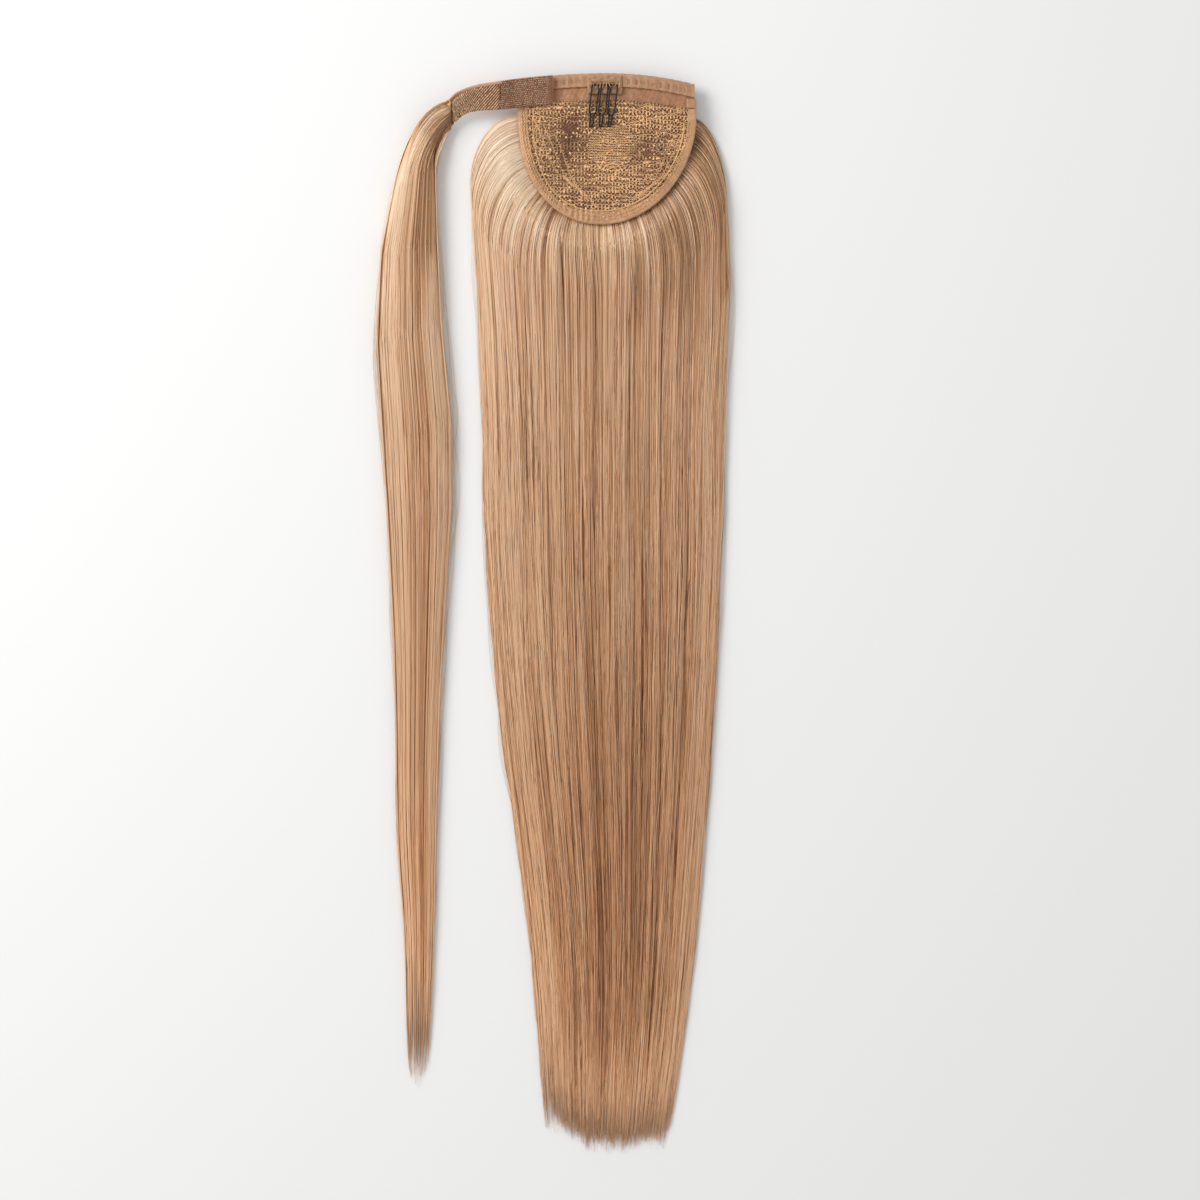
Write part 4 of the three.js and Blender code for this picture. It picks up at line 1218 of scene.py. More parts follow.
def side_hem(material):
    """The short fold down the band's right end."""
    y = np.linspace(-13.1, -18.35, 31)[:, None]
    inward, rise = SIDE_HEM_SECTION[None, :, 0], SIDE_HEM_SECTION[None, :, 1]
    x = BASE_HALF_WIDTH - inward + 0.12 * np.sin(y * 2.4)
    z = seat_height(BASE_HALF_WIDTH - np.maximum(inward, 0), y) + rise + 0.1 * np.sin(y * 1.9 + inward)
    shape = swept(np.stack([x, np.broadcast_to(y, x.shape), z], -1))
    return cloth_piece("side_hem_satin", "side_hem", material, shape)


def comb_tab(material):
    """The lumpy satin patch that the comb is sewn to."""
    columns, rows, bottom, thickness = 61, 37, 1.05, 0.25
    a = np.linspace(-1, 1, columns)[:, None]
    b = np.linspace(-1, 1, rows)[None, :]
    x = TAB_CENTRE + a * TAB_WIDTH / 2 + 0.12 * np.sin(b * 9)
    y = top_edge(x) - TAB_HEIGHT * (1 - b) / 2 + 0.1 * np.sin(a * 14)
    x = np.broadcast_to(x, y.shape)
    edge = np.minimum((1 - np.abs(a)) * TAB_WIDTH / 2, (1 - np.abs(b)) * TAB_HEIGHT / 2)
    lumps = 0.3 * np.sin(x * 1.3 + np.sin(y * 1.7)) * np.sin(y * 1.6 + x * 0.4)
    lumps = lumps - 0.3 * soft_ridge(y, -8.3, 0.5)
    lift = bottom + thickness + 0.85 * (1 - np.exp(-edge / 0.5)) + lumps * ease(edge / 1.2)
    seat = seat_height(x, y)
    shape = slab(np.stack([x, y, seat + lift], -1), np.stack([x, y, seat + bottom], -1))
    return cloth_piece("comb_tab_satin", "comb_tab", material, shape)


def comb_lean(y):
    """The comb's teeth lean to the left towards their tips."""
    return -COMB_LEAN * np.clip((-y - COMB_TOP) / TOOTH_LENGTH, 0, 1)


def comb_height(y):
    """Height of the comb's wire: over the tab first, then down towards the lace."""
    over_tab, over_lace, fall_from, fall_over = 3.05, 2.35, 12, 10
    return seat_height(TAB_CENTRE, y) + mix(over_tab, over_lace, ease((-y - fall_from) / fall_over))


def wire_comb(material):
    """Three narrow teeth of bent wire and the bar that they hang from."""
    tone, points, neck_from, neck_over = 0.5, 60, 20.2, 2.6
    runs = []
    for i in range(COMB_TEETH):
        middle = TAB_CENTRE + (i - (COMB_TEETH - 1) / 2) * (TOOTH_WIDTH + TOOTH_GAP)
        y = -COMB_TOP - TOOTH_LENGTH * (1 - (1 - np.linspace(0, 1, points)) ** 1.5)
        neck = ease((-y - neck_from) / neck_over)
        half = mix(TOOTH_WIDTH / 2 + 0.12, TOOTH_TIP / 2 - 0.05, neck)
        half = half * np.sqrt(np.clip((y + COMB_TOP + TOOTH_LENGTH) / 1.1, 0, 1))
        side = middle + comb_lean(y)
        left = np.stack([side - half, y, comb_height(y)], -1)
        right = np.stack([side + half, y, comb_height(y)], -1)
        runs.append((np.concatenate([left, right[-2::-1]]), tone))
    ends = TAB_CENTRE + np.array([-1, 1]) * (TOOTH_WIDTH * 1.5 + TOOTH_GAP)
    x = np.linspace(ends[0], ends[1], 30)
    y = np.full(30, -COMB_TOP)
    runs.append((np.stack([x, y, comb_height(y)], -1), tone))
    return thread_piece("wire_comb_black", "wire_comb", material, runs, WIRE / 2 - 0.02, sides=10)


def comb_threads(material):
    """The thread that ties the comb's bar to the tab."""
    rng = np.random.default_rng(97)
    angle = np.linspace(0, math.pi, 9)
    runs = []
    for x in np.linspace(-9.2, 6.8, 10):
        slant = rng.normal(0.5, 0.55)
        y = -COMB_TOP + rng.normal(0, 0.25) + 1.75 * np.cos(angle)
        z = seat_height(x, y) + 2.2 + 1.6 * np.sin(angle) + rng.normal(0, 0.08)
        runs.append((np.stack([x + slant * np.cos(angle), y, z], -1), 0.4 + rng.normal(0, 0.18)))
    for y0 in (-3.4, -3.9):
        x = np.linspace(-9.6, 7.4, 50)
        y = y0 + 0.35 * np.sin(x * 2.2 + y0 * 3)
        z = seat_height(x, y) + 2.35 + 0.2 * np.cos(x * 2.2)
        runs.append((np.stack([x, y, z], -1), 0.3))
    return thread_piece("comb_threads", "comb_tab", material, runs, 0.22, sides=5)


# The strap

# The strap's upper and lower edge from the band to the tress: share of its length, x, y and height
STRAP_UPPER = np.array([
    (-0.03, -30.1, -0.05, 13.1), (0.142, -40.3, -0.85, 12.6), (0.276, -48.6, -1.7, 11.9),
    (0.49, -62.0, -3.4, 10.6), (0.651, -73.2, -5.2, 10.3), (0.771, -80.6, -7.6, 10.9),
    (0.865, -85.2, -10.0, 11.8), (0.931, -88.0, -12.7, 12.4), (1.0, -90.4, -15.6, 12.6),
    (1.06, -92.0, -18.4, 12.4),
])
STRAP_LOWER = np.array([
    (-0.03, -29.9, -16.2, 13.1), (0.142, -40.6, -17.2, 12.6), (0.276, -49.2, -18.3, 11.7),
    (0.49, -62.4, -19.3, 9.6), (0.651, -73.0, -19.6, 7.4), (0.771, -78.6, -20.5, 5.6),
    (0.865, -83.2, -22.8, 4.3), (0.931, -87.2, -26.2, 3.4), (1.0, -91.0, -31.4, 2.6),
    (1.06, -94.8, -37.6, 2.2),
])
# Cloth on the strap: its stretch along it and across it, the height of its top, its thickness and unevenness
RIBBON = {"along": (-0.028, 1.055), "across": (-1, 1), "top": 0.95, "thickness": 0.7, "uneven": 0.0}
LOOP_TAPE = {"along": (0.44, 0.985), "across": (-0.985, 0.8), "top": 2.3, "thickness": 0.9, "uneven": 0.06}
HOOK_PATCH = {"along": (-0.024, 0.437), "across": (-0.99, 0.95), "top": 2.8, "thickness": 1.3, "uneven": 0.05}
# Small arched threads: height of their feet, their own height, half span, radius, direction and how it varies
LOOPS = {"base": 2.3, "height": 0.6, "spread": 0.52, "radius": 0.19, "turn": 2.27, "twist": 0.2}
HOOKS = {"base": 2.75, "height": 0.8, "spread": 0.24, "radius": 0.2, "turn": 2.3, "twist": 0.5}
# Where the tress's rolled seam lies along the strap, and its half thickness
WEFT_SHARE = 0.985
WEFT_LIFT = 1.0


class EdgeLine:
    """One edge of the strap, by the share of its length."""

    def __init__(self, points):
        self.tables = [SmoothTable(points[:, 0], points[:, axis]) for axis in (1, 2, 3)]

    def at(self, share):
        """The edge's place at a share of the strap's length."""
        return np.stack([table.at(share) for table in self.tables], -1)


UPPER_LINE, LOWER_LINE = EdgeLine(STRAP_UPPER), EdgeLine(STRAP_LOWER)


def on_strap(share, across, lift):
    """A place on the strap: share of its length, across from -1 to 1, and height over its underside."""
    share, across, lift = np.broadcast_arrays(*(np.asarray(v, float) for v in (share, across, lift)))
    near = 0.01
    upper, lower = UPPER_LINE.at(share), LOWER_LINE.at(share)
    ahead = UPPER_LINE.at(share + near) + LOWER_LINE.at(share + near)
    forward = ahead - UPPER_LINE.at(share - near) - LOWER_LINE.at(share - near)
    normal = np.cross(upper - lower, forward)
    normal = np.where(normal[..., 2:3] < 0, -normal, normal)
    normal /= np.linalg.norm(normal, axis=-1, keepdims=True)
    return mix(lower, upper, ((across + 1) / 2)[..., None]) + normal * lift[..., None]


def strap_sheet(name, node, material, form):
    """A piece of cloth along the strap, with softly rounded edges."""
    columns, rows, rounding = 81, 19, 0.25
    a = np.linspace(0, 1, columns)[:, None]
    b = np.linspace(0, 1, rows)[None, :]
    (first, last), (near, far) = form["along"], form["across"]
    share, across = mix(first, last, a), mix(near, far, b)
    end_distance = np.minimum(a, 1 - a) * abs(last - first) * STRAP_REACH
    side_distance = np.minimum(b, 1 - b) * (far - near) * STRAP_WIDTH / 2
    edge = np.minimum(end_distance, side_distance)
    top, thickness = form["top"], form["thickness"]
    round_off = 0.35 * thickness * np.exp(-edge / rounding)
    wave = form["uneven"] * np.sin(a * 23 + b * 5) * np.sin(b * 7 + a * 4)
    upper = on_strap(share, across, top - round_off + wave)
    lower = on_strap(share, across, top - thickness + round_off + wave)
    return cloth_piece(name, node, material, slab(upper, lower))


def pile(rng, name, material, share, across, form):
    """Small arched threads standing on the strap."""
    count, arch_points, sides = len(share), 5, 3
    turn = rng.normal(form["turn"], form["twist"], count)[:, None]
    arch = np.linspace(-1, 1, arch_points)[None, :]
    size = rng.uniform(0.7, 1.2, count)[:, None]
    move_along = arch * form["spread"] * size * np.cos(turn) / STRAP_REACH
    move_across = arch * form["spread"] * size * np.sin(turn) / (STRAP_WIDTH / 2)
    lift = form["base"] + form["height"] * size * (1 - arch**2)
    points = on_strap(share[:, None] + move_along, across[:, None] + move_across, lift)
    verts, faces = tubes(points, form["radius"], sides=sides)
    tone = np.repeat(rng.uniform(0, 1, count) ** 0.8, arch_points * sides)
    return new_piece(name, verts, faces, material, attributes={"tone": tone})


def loop_pile(material):
    """The fuzzy loops of the strap's long tape, in slanting rows."""
    rng = np.random.default_rng(101)
    count, row, lean = 1500, 0.0265, 0.112
    share = rng.uniform(0.45, 0.925, count)
    across = rng.uniform(-0.95, 0.76, count)
    share = np.round((share + lean * across) / row) * row - lean * across + rng.normal(0, 0.0012, count)
    return placed(pile(rng, "loop_tape_pile", material, share, across, LOOPS), "strap_tape")


def hook_pile(material):
    """The stiff hooks of the patch, in close rows."""
    rng = np.random.default_rng(103)
    rows, columns = 15, 27
    across, share = np.meshgrid(np.linspace(-0.92, 0.92, rows), np.linspace(0.01, 0.425, columns))
    share = share + 0.009 * (np.arange(rows) % 2)[None, :]
    share = share.ravel() + rng.normal(0, 0.0012, share.size)
    across = across.ravel() + rng.normal(0, 0.01, across.size)
    return placed(pile(rng, "hook_patch_hooks", material, share, across, HOOKS), "hook_patch")


def tress_weft(material):
    """The rolled seam at the strap's end, hidden for the most part by the tress's roots."""
    steps = 60
    across = np.linspace(-0.98, 1.02, steps)
    core = on_strap(np.full(steps, WEFT_SHARE), across, WEFT_LIFT)
    verts, faces = tubes(core[None], 1.05 + 0.08 * np.sin(across * 40), sides=12)
    attributes = {"tone": np.full(len(verts), 0.3)}
    piece = new_piece("tress_weft_roll", verts, faces, material, attributes=attributes)
    placed(piece, "tress_weft")


def weft_threads(material):
    """Thread wound round the rolled seam, and the golden tie at its upper end."""
    wound_turns, wound_radius, tie_turns, tie_radius = 26, 1.15, 5, 1.5
    share = np.linspace(0, 1, wound_turns * 14)
    angle = 2 * math.pi * wound_turns * share
    wound = on_strap(WEFT_SHARE + wound_radius * np.cos(angle) / STRAP_REACH, mix(-0.95, 0.98, share),
                     WEFT_LIFT + wound_radius * np.sin(angle))
    share = np.linspace(0, 1, tie_turns * 16)
    angle = 2 * math.pi * tie_turns * share
    tie = on_strap(0.965 + 0.02 * share + tie_radius * np.cos(angle) / STRAP_REACH, mix(0.84, 1.08, share),
                   1.6 + tie_radius * np.sin(angle))
    thread_piece("weft_threads", "tress_weft", material, [(wound, 0.35), (tie, 0.95)], 0.22, sides=4)


def strap(ribbon_cloth, loop_cloth, hook_cloth, loop_thread, hook_thread):
    """The ribbon and, on it, the loop tape and the hook patch."""
    ribbon = strap_sheet("strap_ribbon_satin", "strap_ribbon", ribbon_cloth, RIBBON)
    tape = strap_sheet("loop_tape_cloth", "strap_tape", loop_cloth, LOOP_TAPE)
    patch = strap_sheet("hook_patch_cloth", "hook_patch", hook_cloth, HOOK_PATCH)
    on_ribbon = [tape, patch, loop_pile(loop_thread), hook_pile(hook_thread)]


# Materials


class Graph:
    """A short way to write a material's or a group's nodes."""

    def __init__(self, tree):
        self.tree = tree

    def node(self, kind, **values):
        """A new node with its properties set."""
        made = self.tree.nodes.new(kind)
        for key, value in values.items():
            setattr(made, key, value)
        return made

    def link(self, output, target):
        """Links an output to an input."""
        self.tree.links.new(output, target)

    def put(self, socket, value):
        """Links an output to a socket, or sets the socket's own value."""
        if isinstance(value, bpy.types.NodeSocket):
            self.link(value, socket)
        else:
            socket.default_value = value

    def math(self, operation, *values, clamp=False):
        """One sum, by the name that the Math node gives it."""
        made = self.node("ShaderNodeMath", operation=operation, use_clamp=clamp)
        for socket, value in zip(made.inputs, values):
            self.put(socket, value)
        return made.outputs[0]

    def blend(self, share, first, second, kind="MIX"):
        """Mixes two colours by a share of the second."""
        made = self.node("ShaderNodeMix", data_type="RGBA", blend_type=kind)
        self.put(made.inputs["Factor"], share)
        self.put(made.inputs["A"], first)
        self.put(made.inputs["B"], second)
        return made.outputs["Result"]

    def noise(self, vector, scale, detail=2.0, roughness=0.5):
        """Cloudy values from 0 to 1."""
        made = self.node("ShaderNodeTexNoise")
        self.put(made.inputs["Vector"], vector)
        self.put(made.inputs["Scale"], scale)
        self.put(made.inputs["Detail"], detail)
        self.put(made.inputs["Roughness"], roughness)
        return made.outputs["Fac"]

    def about_zero(self, value, strength):
        """Centres a value from 0 to 1 on 0 and scales it."""
        return self.math("MULTIPLY", self.math("SUBTRACT", value, 0.5), strength)

    def ramp(self, value, stops):
        """A colour by a value, from stops of a value and a colour."""
        made = self.node("ShaderNodeValToRGB")
        self.put(made.inputs["Fac"], value)
        while len(made.color_ramp.elements) < len(stops):
            made.color_ramp.elements.new(0.5)
        for element, (place, colour) in zip(made.color_ramp.elements, stops):
            element.position = place
            element.color = colour
        return made.outputs["Color"]

    def attribute(self, name):
        """A value that the mesh carries at its points."""
        return self.node("ShaderNodeAttribute", attribute_name=name).outputs["Fac"]

    def place(self):
        """The place on the object, in metres."""
        return self.node("ShaderNodeTexCoord").outputs["Object"]


def photo_colour(red, green, blue):
    """A colour as the eye reads it, 0 to 255, in the numbers that shaders use."""
    parts = np.array([red, green, blue]) / 255
    linear = np.where(parts < 0.04045, parts / 12.92, ((parts + 0.055) / 1.055) ** 2.4)
    return (*(float(c) for c in linear), 1.0)


def new_group(name, inputs, outputs):
    """A shader node group: its graph, the outputs of its input node and the inputs of its output node."""
    group = bpy.data.node_groups.new(name, "ShaderNodeTree")
    for title, kind, value in inputs:
        socket = group.interface.new_socket(title, in_out="INPUT", socket_type=kind)
        socket.default_value = value
    for title, kind in outputs:
        group.interface.new_socket(title, in_out="OUTPUT", socket_type=kind)
    graph = Graph(group)
    return graph, graph.node("NodeGroupInput").outputs, graph.node("NodeGroupOutput").inputs


def new_material(name):
    """A material, its graph and its shader."""
    material = bpy.data.materials.new(name)
    material.use_nodes = True
    return material, Graph(material.node_tree), material.node_tree.nodes["Principled BSDF"]


def use_group(graph, group, **values):
    """Puts a group in a graph, with what each of its inputs is given."""
    made = graph.node("ShaderNodeGroup", node_tree=group)
    for title, value in values.items():
        graph.put(made.inputs[title], value)
    return made.outputs


def photo_ramp(stops):
    """Stops of a colour ramp, from colours as the eye reads them."""
    return [(place, photo_colour(*colour)) for place, colour in stops]


# Colours of a strand by its tone; down the hair, darker (own colour and painted shade), painted light at the
# tips
STRAND_COLOURS = [
    (0.0, (146, 103, 66)), (0.3, (202, 155, 108)), (0.6, (234, 191, 144)), (1.0, (255, 234, 208)),
]
DOWN_COLOURS_AND_PAINTED_LIGHT = [
    (0.0, (255, 255, 255)), (0.25, (252, 248, 242)), (0.78, (228, 202, 178)), (1.0, (246, 218, 192)),
]
# Painted shade: the colour that strands lying deep in the hair are darkened towards
DEEP_SHADE_COLOUR = (188, 150, 120)


def hair_colour_group():
    """Hair colour from a strand's own tone, its place down the hair, which adds painted light and shade, and
    painted shade by how deep it lies.
    """
    graph, given, result = new_group(
        "hair colour",
        [("Tone", "NodeSocketFloat", 0.5), ("Along", "NodeSocketFloat", 0.0),
         ("Deep", "NodeSocketFloat", 0.0), ("Lane", "NodeSocketFloat", 0.0)],
        [("Color", "NodeSocketColor"), ("Roughness", "NodeSocketFloat")],
    )
    changes_across, changes_down, streak_strength, deep_shade_strength = 2.2, 9.0, 0.5, 0.6
    place = graph.node("ShaderNodeCombineXYZ")
    graph.link(graph.math("MULTIPLY", given["Lane"], changes_across), place.inputs["X"])
    graph.link(graph.math("MULTIPLY", given["Along"], changes_down), place.inputs["Y"])
    streak = graph.noise(place.outputs[0], 1.0, 3.0, 0.6)
    tone = graph.math("ADD", given["Tone"], graph.about_zero(streak, streak_strength))
    strand = graph.ramp(tone, photo_ramp(STRAND_COLOURS))
    # Darker down the hair, partly own colour and partly painted shade, with painted light at the tips
    down_tone_and_painted_light = graph.blend(1.0, strand, graph.ramp(given["Along"], photo_ramp(DOWN_COLOURS_AND_PAINTED_LIGHT)), "MULTIPLY")
    # Painted shade on strands that lie deep in the hair
    share = graph.math("MULTIPLY", given["Deep"], deep_shade_strength)
    graph.link(graph.blend(share, down_tone_and_painted_light, photo_colour(*DEEP_SHADE_COLOUR), "MULTIPLY"), result["Color"])
    graph.link(graph.math("ADD", 0.28, graph.math("MULTIPLY", streak, 0.16)), result["Roughness"])
    return graph.tree


def hair_material(name, group):
    """Glossy hair."""
    material, graph, shader = new_material(name)
    made = use_group(graph, group, Tone=graph.attribute("tone"), Along=graph.attribute("along"),
                     Deep=graph.attribute("deep"), Lane=graph.attribute("lane"))
    graph.link(made["Color"], shader.inputs["Base Color"])
    graph.link(made["Roughness"], shader.inputs["Roughness"])
    shader.inputs["Specular IOR Level"].default_value = 0.8
    return material


def mottled_group():
    """A cloth's or thread's colour, uneven from place to place and from thread to thread."""
    graph, given, result = new_group(
        "mottled colour",
        [("Dark", "NodeSocketColor", (0.2, 0.1, 0.05, 1)), ("Light", "NodeSocketColor", (0.6, 0.4, 0.25, 1)),
         ("Tone", "NodeSocketFloat", 0.5), ("Grain", "NodeSocketFloat", 300.0),
         ("Place", "NodeSocketVector", (0, 0, 0))],
        [("Color", "NodeSocketColor")],
    )
    fine = graph.noise(given["Place"], given["Grain"], 3.0, 0.6)
    broad = graph.noise(given["Place"], 60.0, 2.0, 0.5)
    uneven = graph.math("ADD", graph.about_zero(fine, 0.7), graph.about_zero(broad, 0.5))
    share = graph.math("ADD", given["Tone"], uneven, clamp=True)
    graph.link(graph.blend(share, given["Dark"], given["Light"]), result["Color"])
    return graph.tree


def weave_group():
    """Fine slanting ribs of a woven cloth and weaker ones across them, as a height and as a shade."""
    graph, given, result = new_group(
        "twill weave",
        [("Place", "NodeSocketVector", (0, 0, 0)), ("Ribs", "NodeSocketFloat", 1500.0),
         ("Lean", "NodeSocketFloat", 1.0), ("Uneven", "NodeSocketFloat", 0.3)],
        [("Height", "NodeSocketFloat"), ("Shade", "NodeSocketFloat")],
    )
    closer, weaker, rib_height = 1.3, 0.4, 0.35
    split = graph.node("ShaderNodeSeparateXYZ")
    graph.link(given["Place"], split.inputs[0])
    x, y = split.outputs["X"], split.outputs["Y"]
    wobble = graph.math("MULTIPLY", graph.noise(given["Place"], 240.0, 2.0), 0.002)
    slant = graph.math("ADD", graph.math("ADD", x, graph.math("MULTIPLY", y, given["Lean"])), wobble)
    ribs = graph.math("SINE", graph.math("MULTIPLY", slant, given["Ribs"]))
    cross = graph.math("SUBTRACT", graph.math("MULTIPLY", x, given["Lean"]), y)
    threads = graph.math("SINE", graph.math("MULTIPLY", cross, graph.math("MULTIPLY", given["Ribs"], closer)))
    pattern = graph.math("ADD", ribs, graph.math("MULTIPLY", threads, weaker))
    coarse = graph.math("MULTIPLY", graph.noise(given["Place"], 900.0, 2.0), given["Uneven"])
    height = graph.math("ADD", graph.math("MULTIPLY", pattern, rib_height), graph.math("ADD", coarse, 0.5))
    graph.link(height, result["Height"])
    graph.link(graph.math("MULTIPLY", height, 1.0, clamp=True), result["Shade"])
    return graph.tree


# Cloths: their darker and lighter colour as the eye reads them, the tone between the two, how close the ribs
# are and how they lean, how high and how contrasting they look, and how fine the cloth's mottling is
PLAIN_CLOTH = {"lean": 1.0, "bump": 0.35, "roughness": 0.5, "grain": 500.0, "contrast": 0.5}
CLOTHS = {
    "pinkish_satin": {"dark": (104, 62, 36), "light": (194, 142, 102), "tone": 0.52, "ribs": 8200.0},
    "edge_satin": {"dark": (108, 66, 38), "light": (214, 166, 124), "tone": 0.58, "ribs": 9000.0,
                   "roughness": 0.4, "grain": 260.0, "contrast": 0.8},
    "hem_satin": {"dark": (126, 84, 56), "light": (198, 153, 115), "tone": 0.55, "ribs": 9600.0},
    "tab_satin": {"dark": (98, 62, 40), "light": (190, 148, 110), "tone": 0.52, "ribs": 9000.0,
                  "contrast": 0.7},
    "lace_cloth": {"dark": (64, 36, 22), "light": (148, 100, 70), "tone": 0.36, "ribs": 5200.0, "bump": 0.6,
                   "roughness": 0.75},
    "ribbon_satin": {"dark": (128, 84, 58), "light": (206, 158, 122), "tone": 0.6, "ribs": 9000.0},
    "loop_cloth": {"dark": (66, 35, 20), "light": (162, 104, 72), "tone": 0.45, "ribs": 8000.0, "lean": -0.8,
                   "bump": 0.6, "roughness": 0.85},
    "hook_cloth": {"dark": (64, 36, 22), "light": (166, 110, 76), "tone": 0.46, "ribs": 8600.0, "bump": 0.6,
                   "roughness": 0.8},
}
# Threads: their darker and lighter colour and their roughness
THREADS = {
    "lace_thread": {"dark": (112, 64, 36), "light": (255, 207, 152), "roughness": 0.6},
    "yellow_thread": {"dark": (128, 86, 48), "light": (240, 196, 132), "roughness": 0.5},
    "hem_thread": {"dark": (104, 68, 46), "light": (190, 146, 110), "roughness": 0.6},
    "loop_thread": {"dark": (156, 96, 62), "light": (255, 226, 184), "roughness": 0.6},
    "hook_thread": {"dark": (146, 98, 66), "light": (255, 240, 208), "roughness": 0.35},
}


def cloth_material(name, mottled, weave):
    """Woven cloth in two colours, with ribs that show as relief and as shade."""
    form = {**PLAIN_CLOTH, **CLOTHS[name]}
    material, graph, shader = new_material(name)
    place = graph.place()
    ribbed = use_group(graph, weave, Place=place, Ribs=form["ribs"], Lean=form["lean"], Uneven=0.3)
    shade = graph.math("ADD", form["tone"], graph.about_zero(ribbed["Shade"], form["contrast"]))
    colour = use_group(graph, mottled, Dark=photo_colour(*form["dark"]), Light=photo_colour(*form["light"]),
                       Tone=shade, Grain=form["grain"], Place=place)
    graph.link(colour["Color"], shader.inputs["Base Color"])
    relief_node = graph.node("ShaderNodeBump")
    relief_node.inputs["Strength"].default_value = form["bump"]
    relief_node.inputs["Distance"].default_value = 0.0002
    graph.link(ribbed["Height"], relief_node.inputs["Height"])
    graph.link(relief_node.outputs["Normal"], shader.inputs["Normal"])
    shader.inputs["Roughness"].default_value = form["roughness"]
    shader.inputs["Sheen Weight"].default_value = 0.15
    shader.inputs["Specular IOR Level"].default_value = 0.4
    return material


def thread_material(name, mottled):
    """Spun thread whose tone comes from the thread itself."""
    form = THREADS[name]
    material, graph, shader = new_material(name)
    colour = use_group(graph, mottled, Dark=photo_colour(*form["dark"]), Light=photo_colour(*form["light"]),
                       Tone=graph.attribute("tone"), Grain=900.0, Place=graph.place())
    graph.link(colour["Color"], shader.inputs["Base Color"])
    shader.inputs["Roughness"].default_value = form["roughness"]
    shader.inputs["Sheen Weight"].default_value = 0.2
    shader.inputs["Specular IOR Level"].default_value = 0.35
    return material


def wire_material():
    """Black enamelled wire, a little worn."""
    black, worn = (0.003, 0.0028, 0.0025, 1), (0.018, 0.015, 0.013, 1)
    material, graph, shader = new_material("black_wire")
    wear = graph.noise(graph.place(), 700.0, 3.0, 0.6)
    graph.link(graph.ramp(wear, [(0.45, black), (0.75, worn)]), shader.inputs["Base Color"])
    graph.link(graph.math("ADD", 0.3, graph.math("MULTIPLY", wear, 0.25)), shader.inputs["Roughness"])
    shader.inputs["Specular IOR Level"].default_value = 0.3
    return material


def table_material():
    """A matt, almost white table."""
    material, _, shader = new_material("pale_table")
    shader.inputs["Base Color"].default_value = (0.8, 0.8, 0.795, 1)
    shader.inputs["Roughness"].default_value = 0.9
    shader.inputs["Specular IOR Level"].default_value = 0.1
    return material


# The pieces together


def build_hair():
    """The long hair and the wrap tress, each a body of hair with strands over it."""
    colour = hair_colour_group()
    strands = hair_material("blond_strands", colour)
    body = hair_material("blond_hair_body", colour)
    long_body(body)
    long_strands(strands)
    long_flyaways(strands)
    long_strays(strands)
    under_base_body(body)
    under_base_strands(strands)
    wrap_body(body)
    wrap_strands(strands)
    wrap_flyaways(strands)


def build_base():
    """Every piece of the sewn base and the strap, in its own cloth or thread."""
    mottled, weave = mottled_group(), weave_group()
    cloths = {name: cloth_material(name, mottled, weave) for name in CLOTHS}
    threads = {name: thread_material(name, mottled) for name in THREADS}
    lace_thread, yellow_thread = threads["lace_thread"], threads["yellow_thread"]
    hem_thread = threads["hem_thread"]
    lace = lace_ground(cloths["lace_cloth"])
    on_lace = [make(lace_thread) for make in (lace_net, lace_cords, lace_knots, edge_cord)]
    on_lace += [base_stitches(yellow_thread), rim_binding(cloths["edge_satin"])]
    band = satin_band(cloths["pinkish_satin"])
    on_band = [top_hem(cloths["hem_satin"]), hem_stitches(hem_thread), side_hem(cloths["hem_satin"]),
               comb_tab(cloths["tab_satin"]), comb_threads(yellow_thread), wire_comb(wire_material())]
    strap(cloths["ribbon_satin"], cloths["loop_cloth"], cloths["hook_cloth"], threads["loop_thread"],
          threads["hook_thread"])
    tress_weft(hem_thread)
    weft_threads(yellow_thread)


# The scene


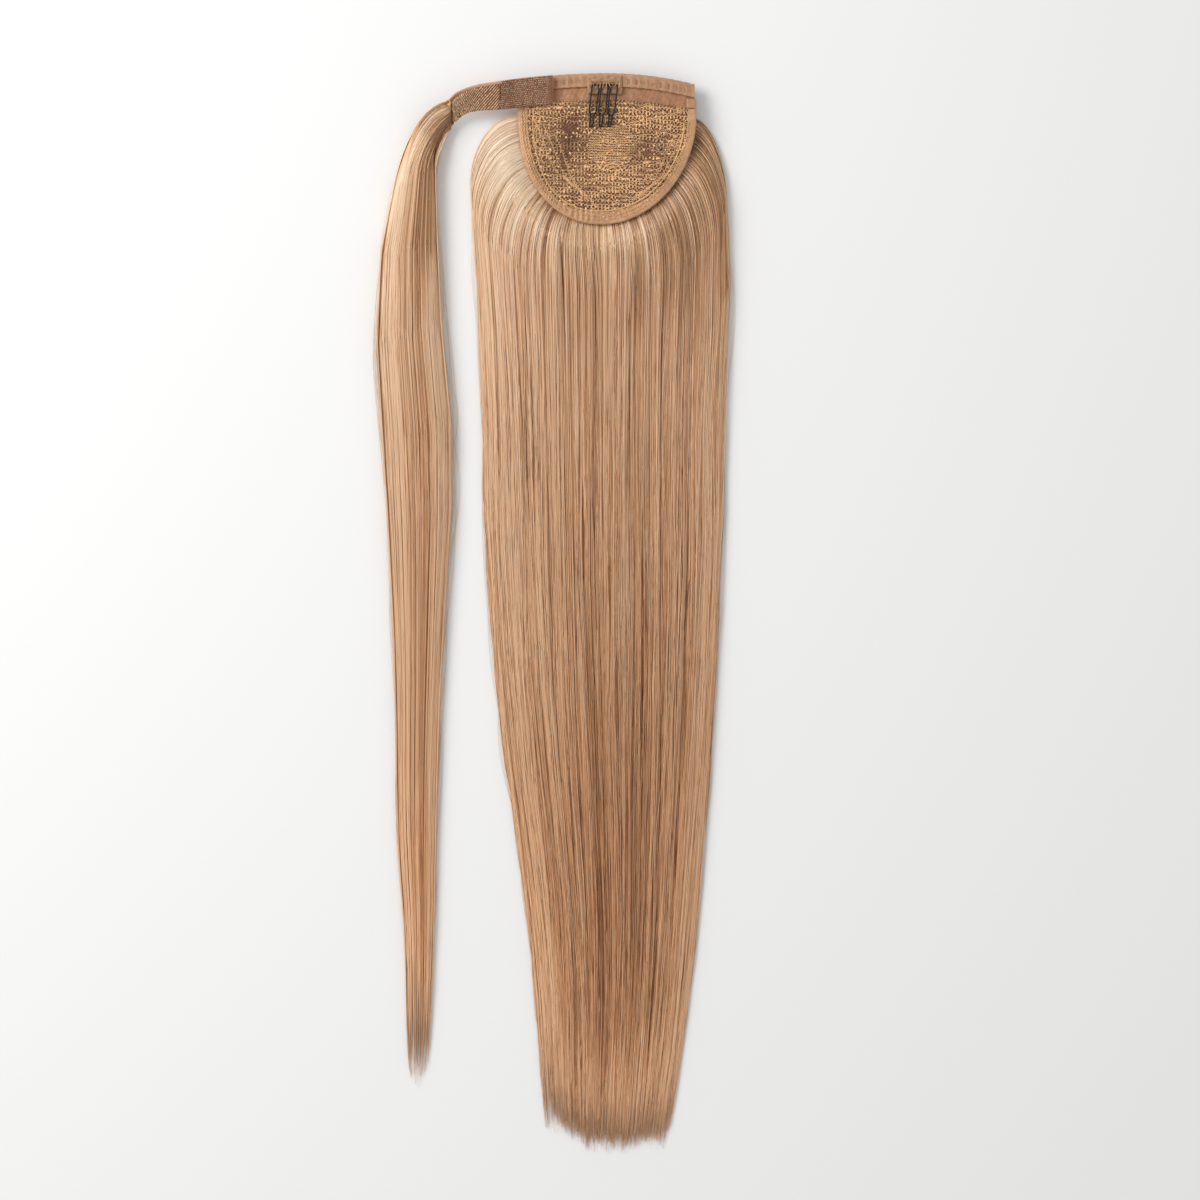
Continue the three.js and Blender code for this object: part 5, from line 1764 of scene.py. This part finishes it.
def pale_table():
    """The table that the hairpiece lies on."""
    half = 6.0
    mesh = bpy.data.meshes.new("table_top")
    corners = [(-half, -half, 0), (half, -half, 0), (half, half, 0), (-half, half, 0)]
    mesh.from_pydata(corners, [], [(0, 1, 2, 3)])
    mesh.materials.append(table_material())
    table = bpy.data.objects.new("table_top", mesh)
    bpy.context.scene.collection.objects.link(table)


def softbox(name, place, size, energy):
    """A rectangular lamp that faces the hairpiece."""
    target = Vector((0.02, 0.05, 0))
    lamp = bpy.data.lights.new(name, "AREA")
    lamp.shape = "RECTANGLE"
    lamp.size, lamp.size_y = size
    lamp.energy = energy
    light = bpy.data.objects.new(name, lamp)
    bpy.context.scene.collection.objects.link(light)
    light.location = place
    light.rotation_euler = (target - light.location).to_track_quat("-Z", "Y").to_euler()


def studio_light():
    """A large lamp from the upper left, a weak one from the left and an even white surround."""
    softbox("key_softbox", (-1.25, 0.88, 1.2), (1.0, 1.0), 25)
    softbox("left_softbox", (-1.7, -0.1, 0.9), (0.5, 1.6), 3.5)
    world = bpy.data.worlds.new("studio")
    bpy.context.scene.world = world
    world.use_nodes = True
    background = world.node_tree.nodes["Background"]
    background.inputs["Color"].default_value = (1, 1, 1, 1)
    background.inputs["Strength"].default_value = 0.69


def overhead_camera():
    """A camera straight above, that frames 1200 x 1200 pixels of 0.56 mm at the height of the hair."""
    lens, sensor = 180.0, 36.0
    pixel, pixels = 0.56, 1200
    band_top_pixel = (607, 76)
    data = bpy.data.cameras.new("overhead_camera")
    data.lens = lens
    data.sensor_width = sensor
    data.clip_start = 0.05
    camera = bpy.data.objects.new("overhead_camera", data)
    bpy.context.scene.collection.objects.link(camera)
    right_of_origin = (pixels / 2 - band_top_pixel[0]) * pixel
    above_origin = -(pixels / 2 - band_top_pixel[1]) * pixel
    centre = (np.array([right_of_origin, above_origin, 0]) + OFFSET) * MM
    distance = pixel * pixels * lens / sensor
    camera.location = (centre[0], centre[1], (distance + SEAT_HEIGHT / 2) * MM)
    bpy.context.scene.camera = camera


pale_table()
studio_light()
overhead_camera()
build_hair()
build_base()
bpy.context.scene.view_settings.view_transform = "Standard"
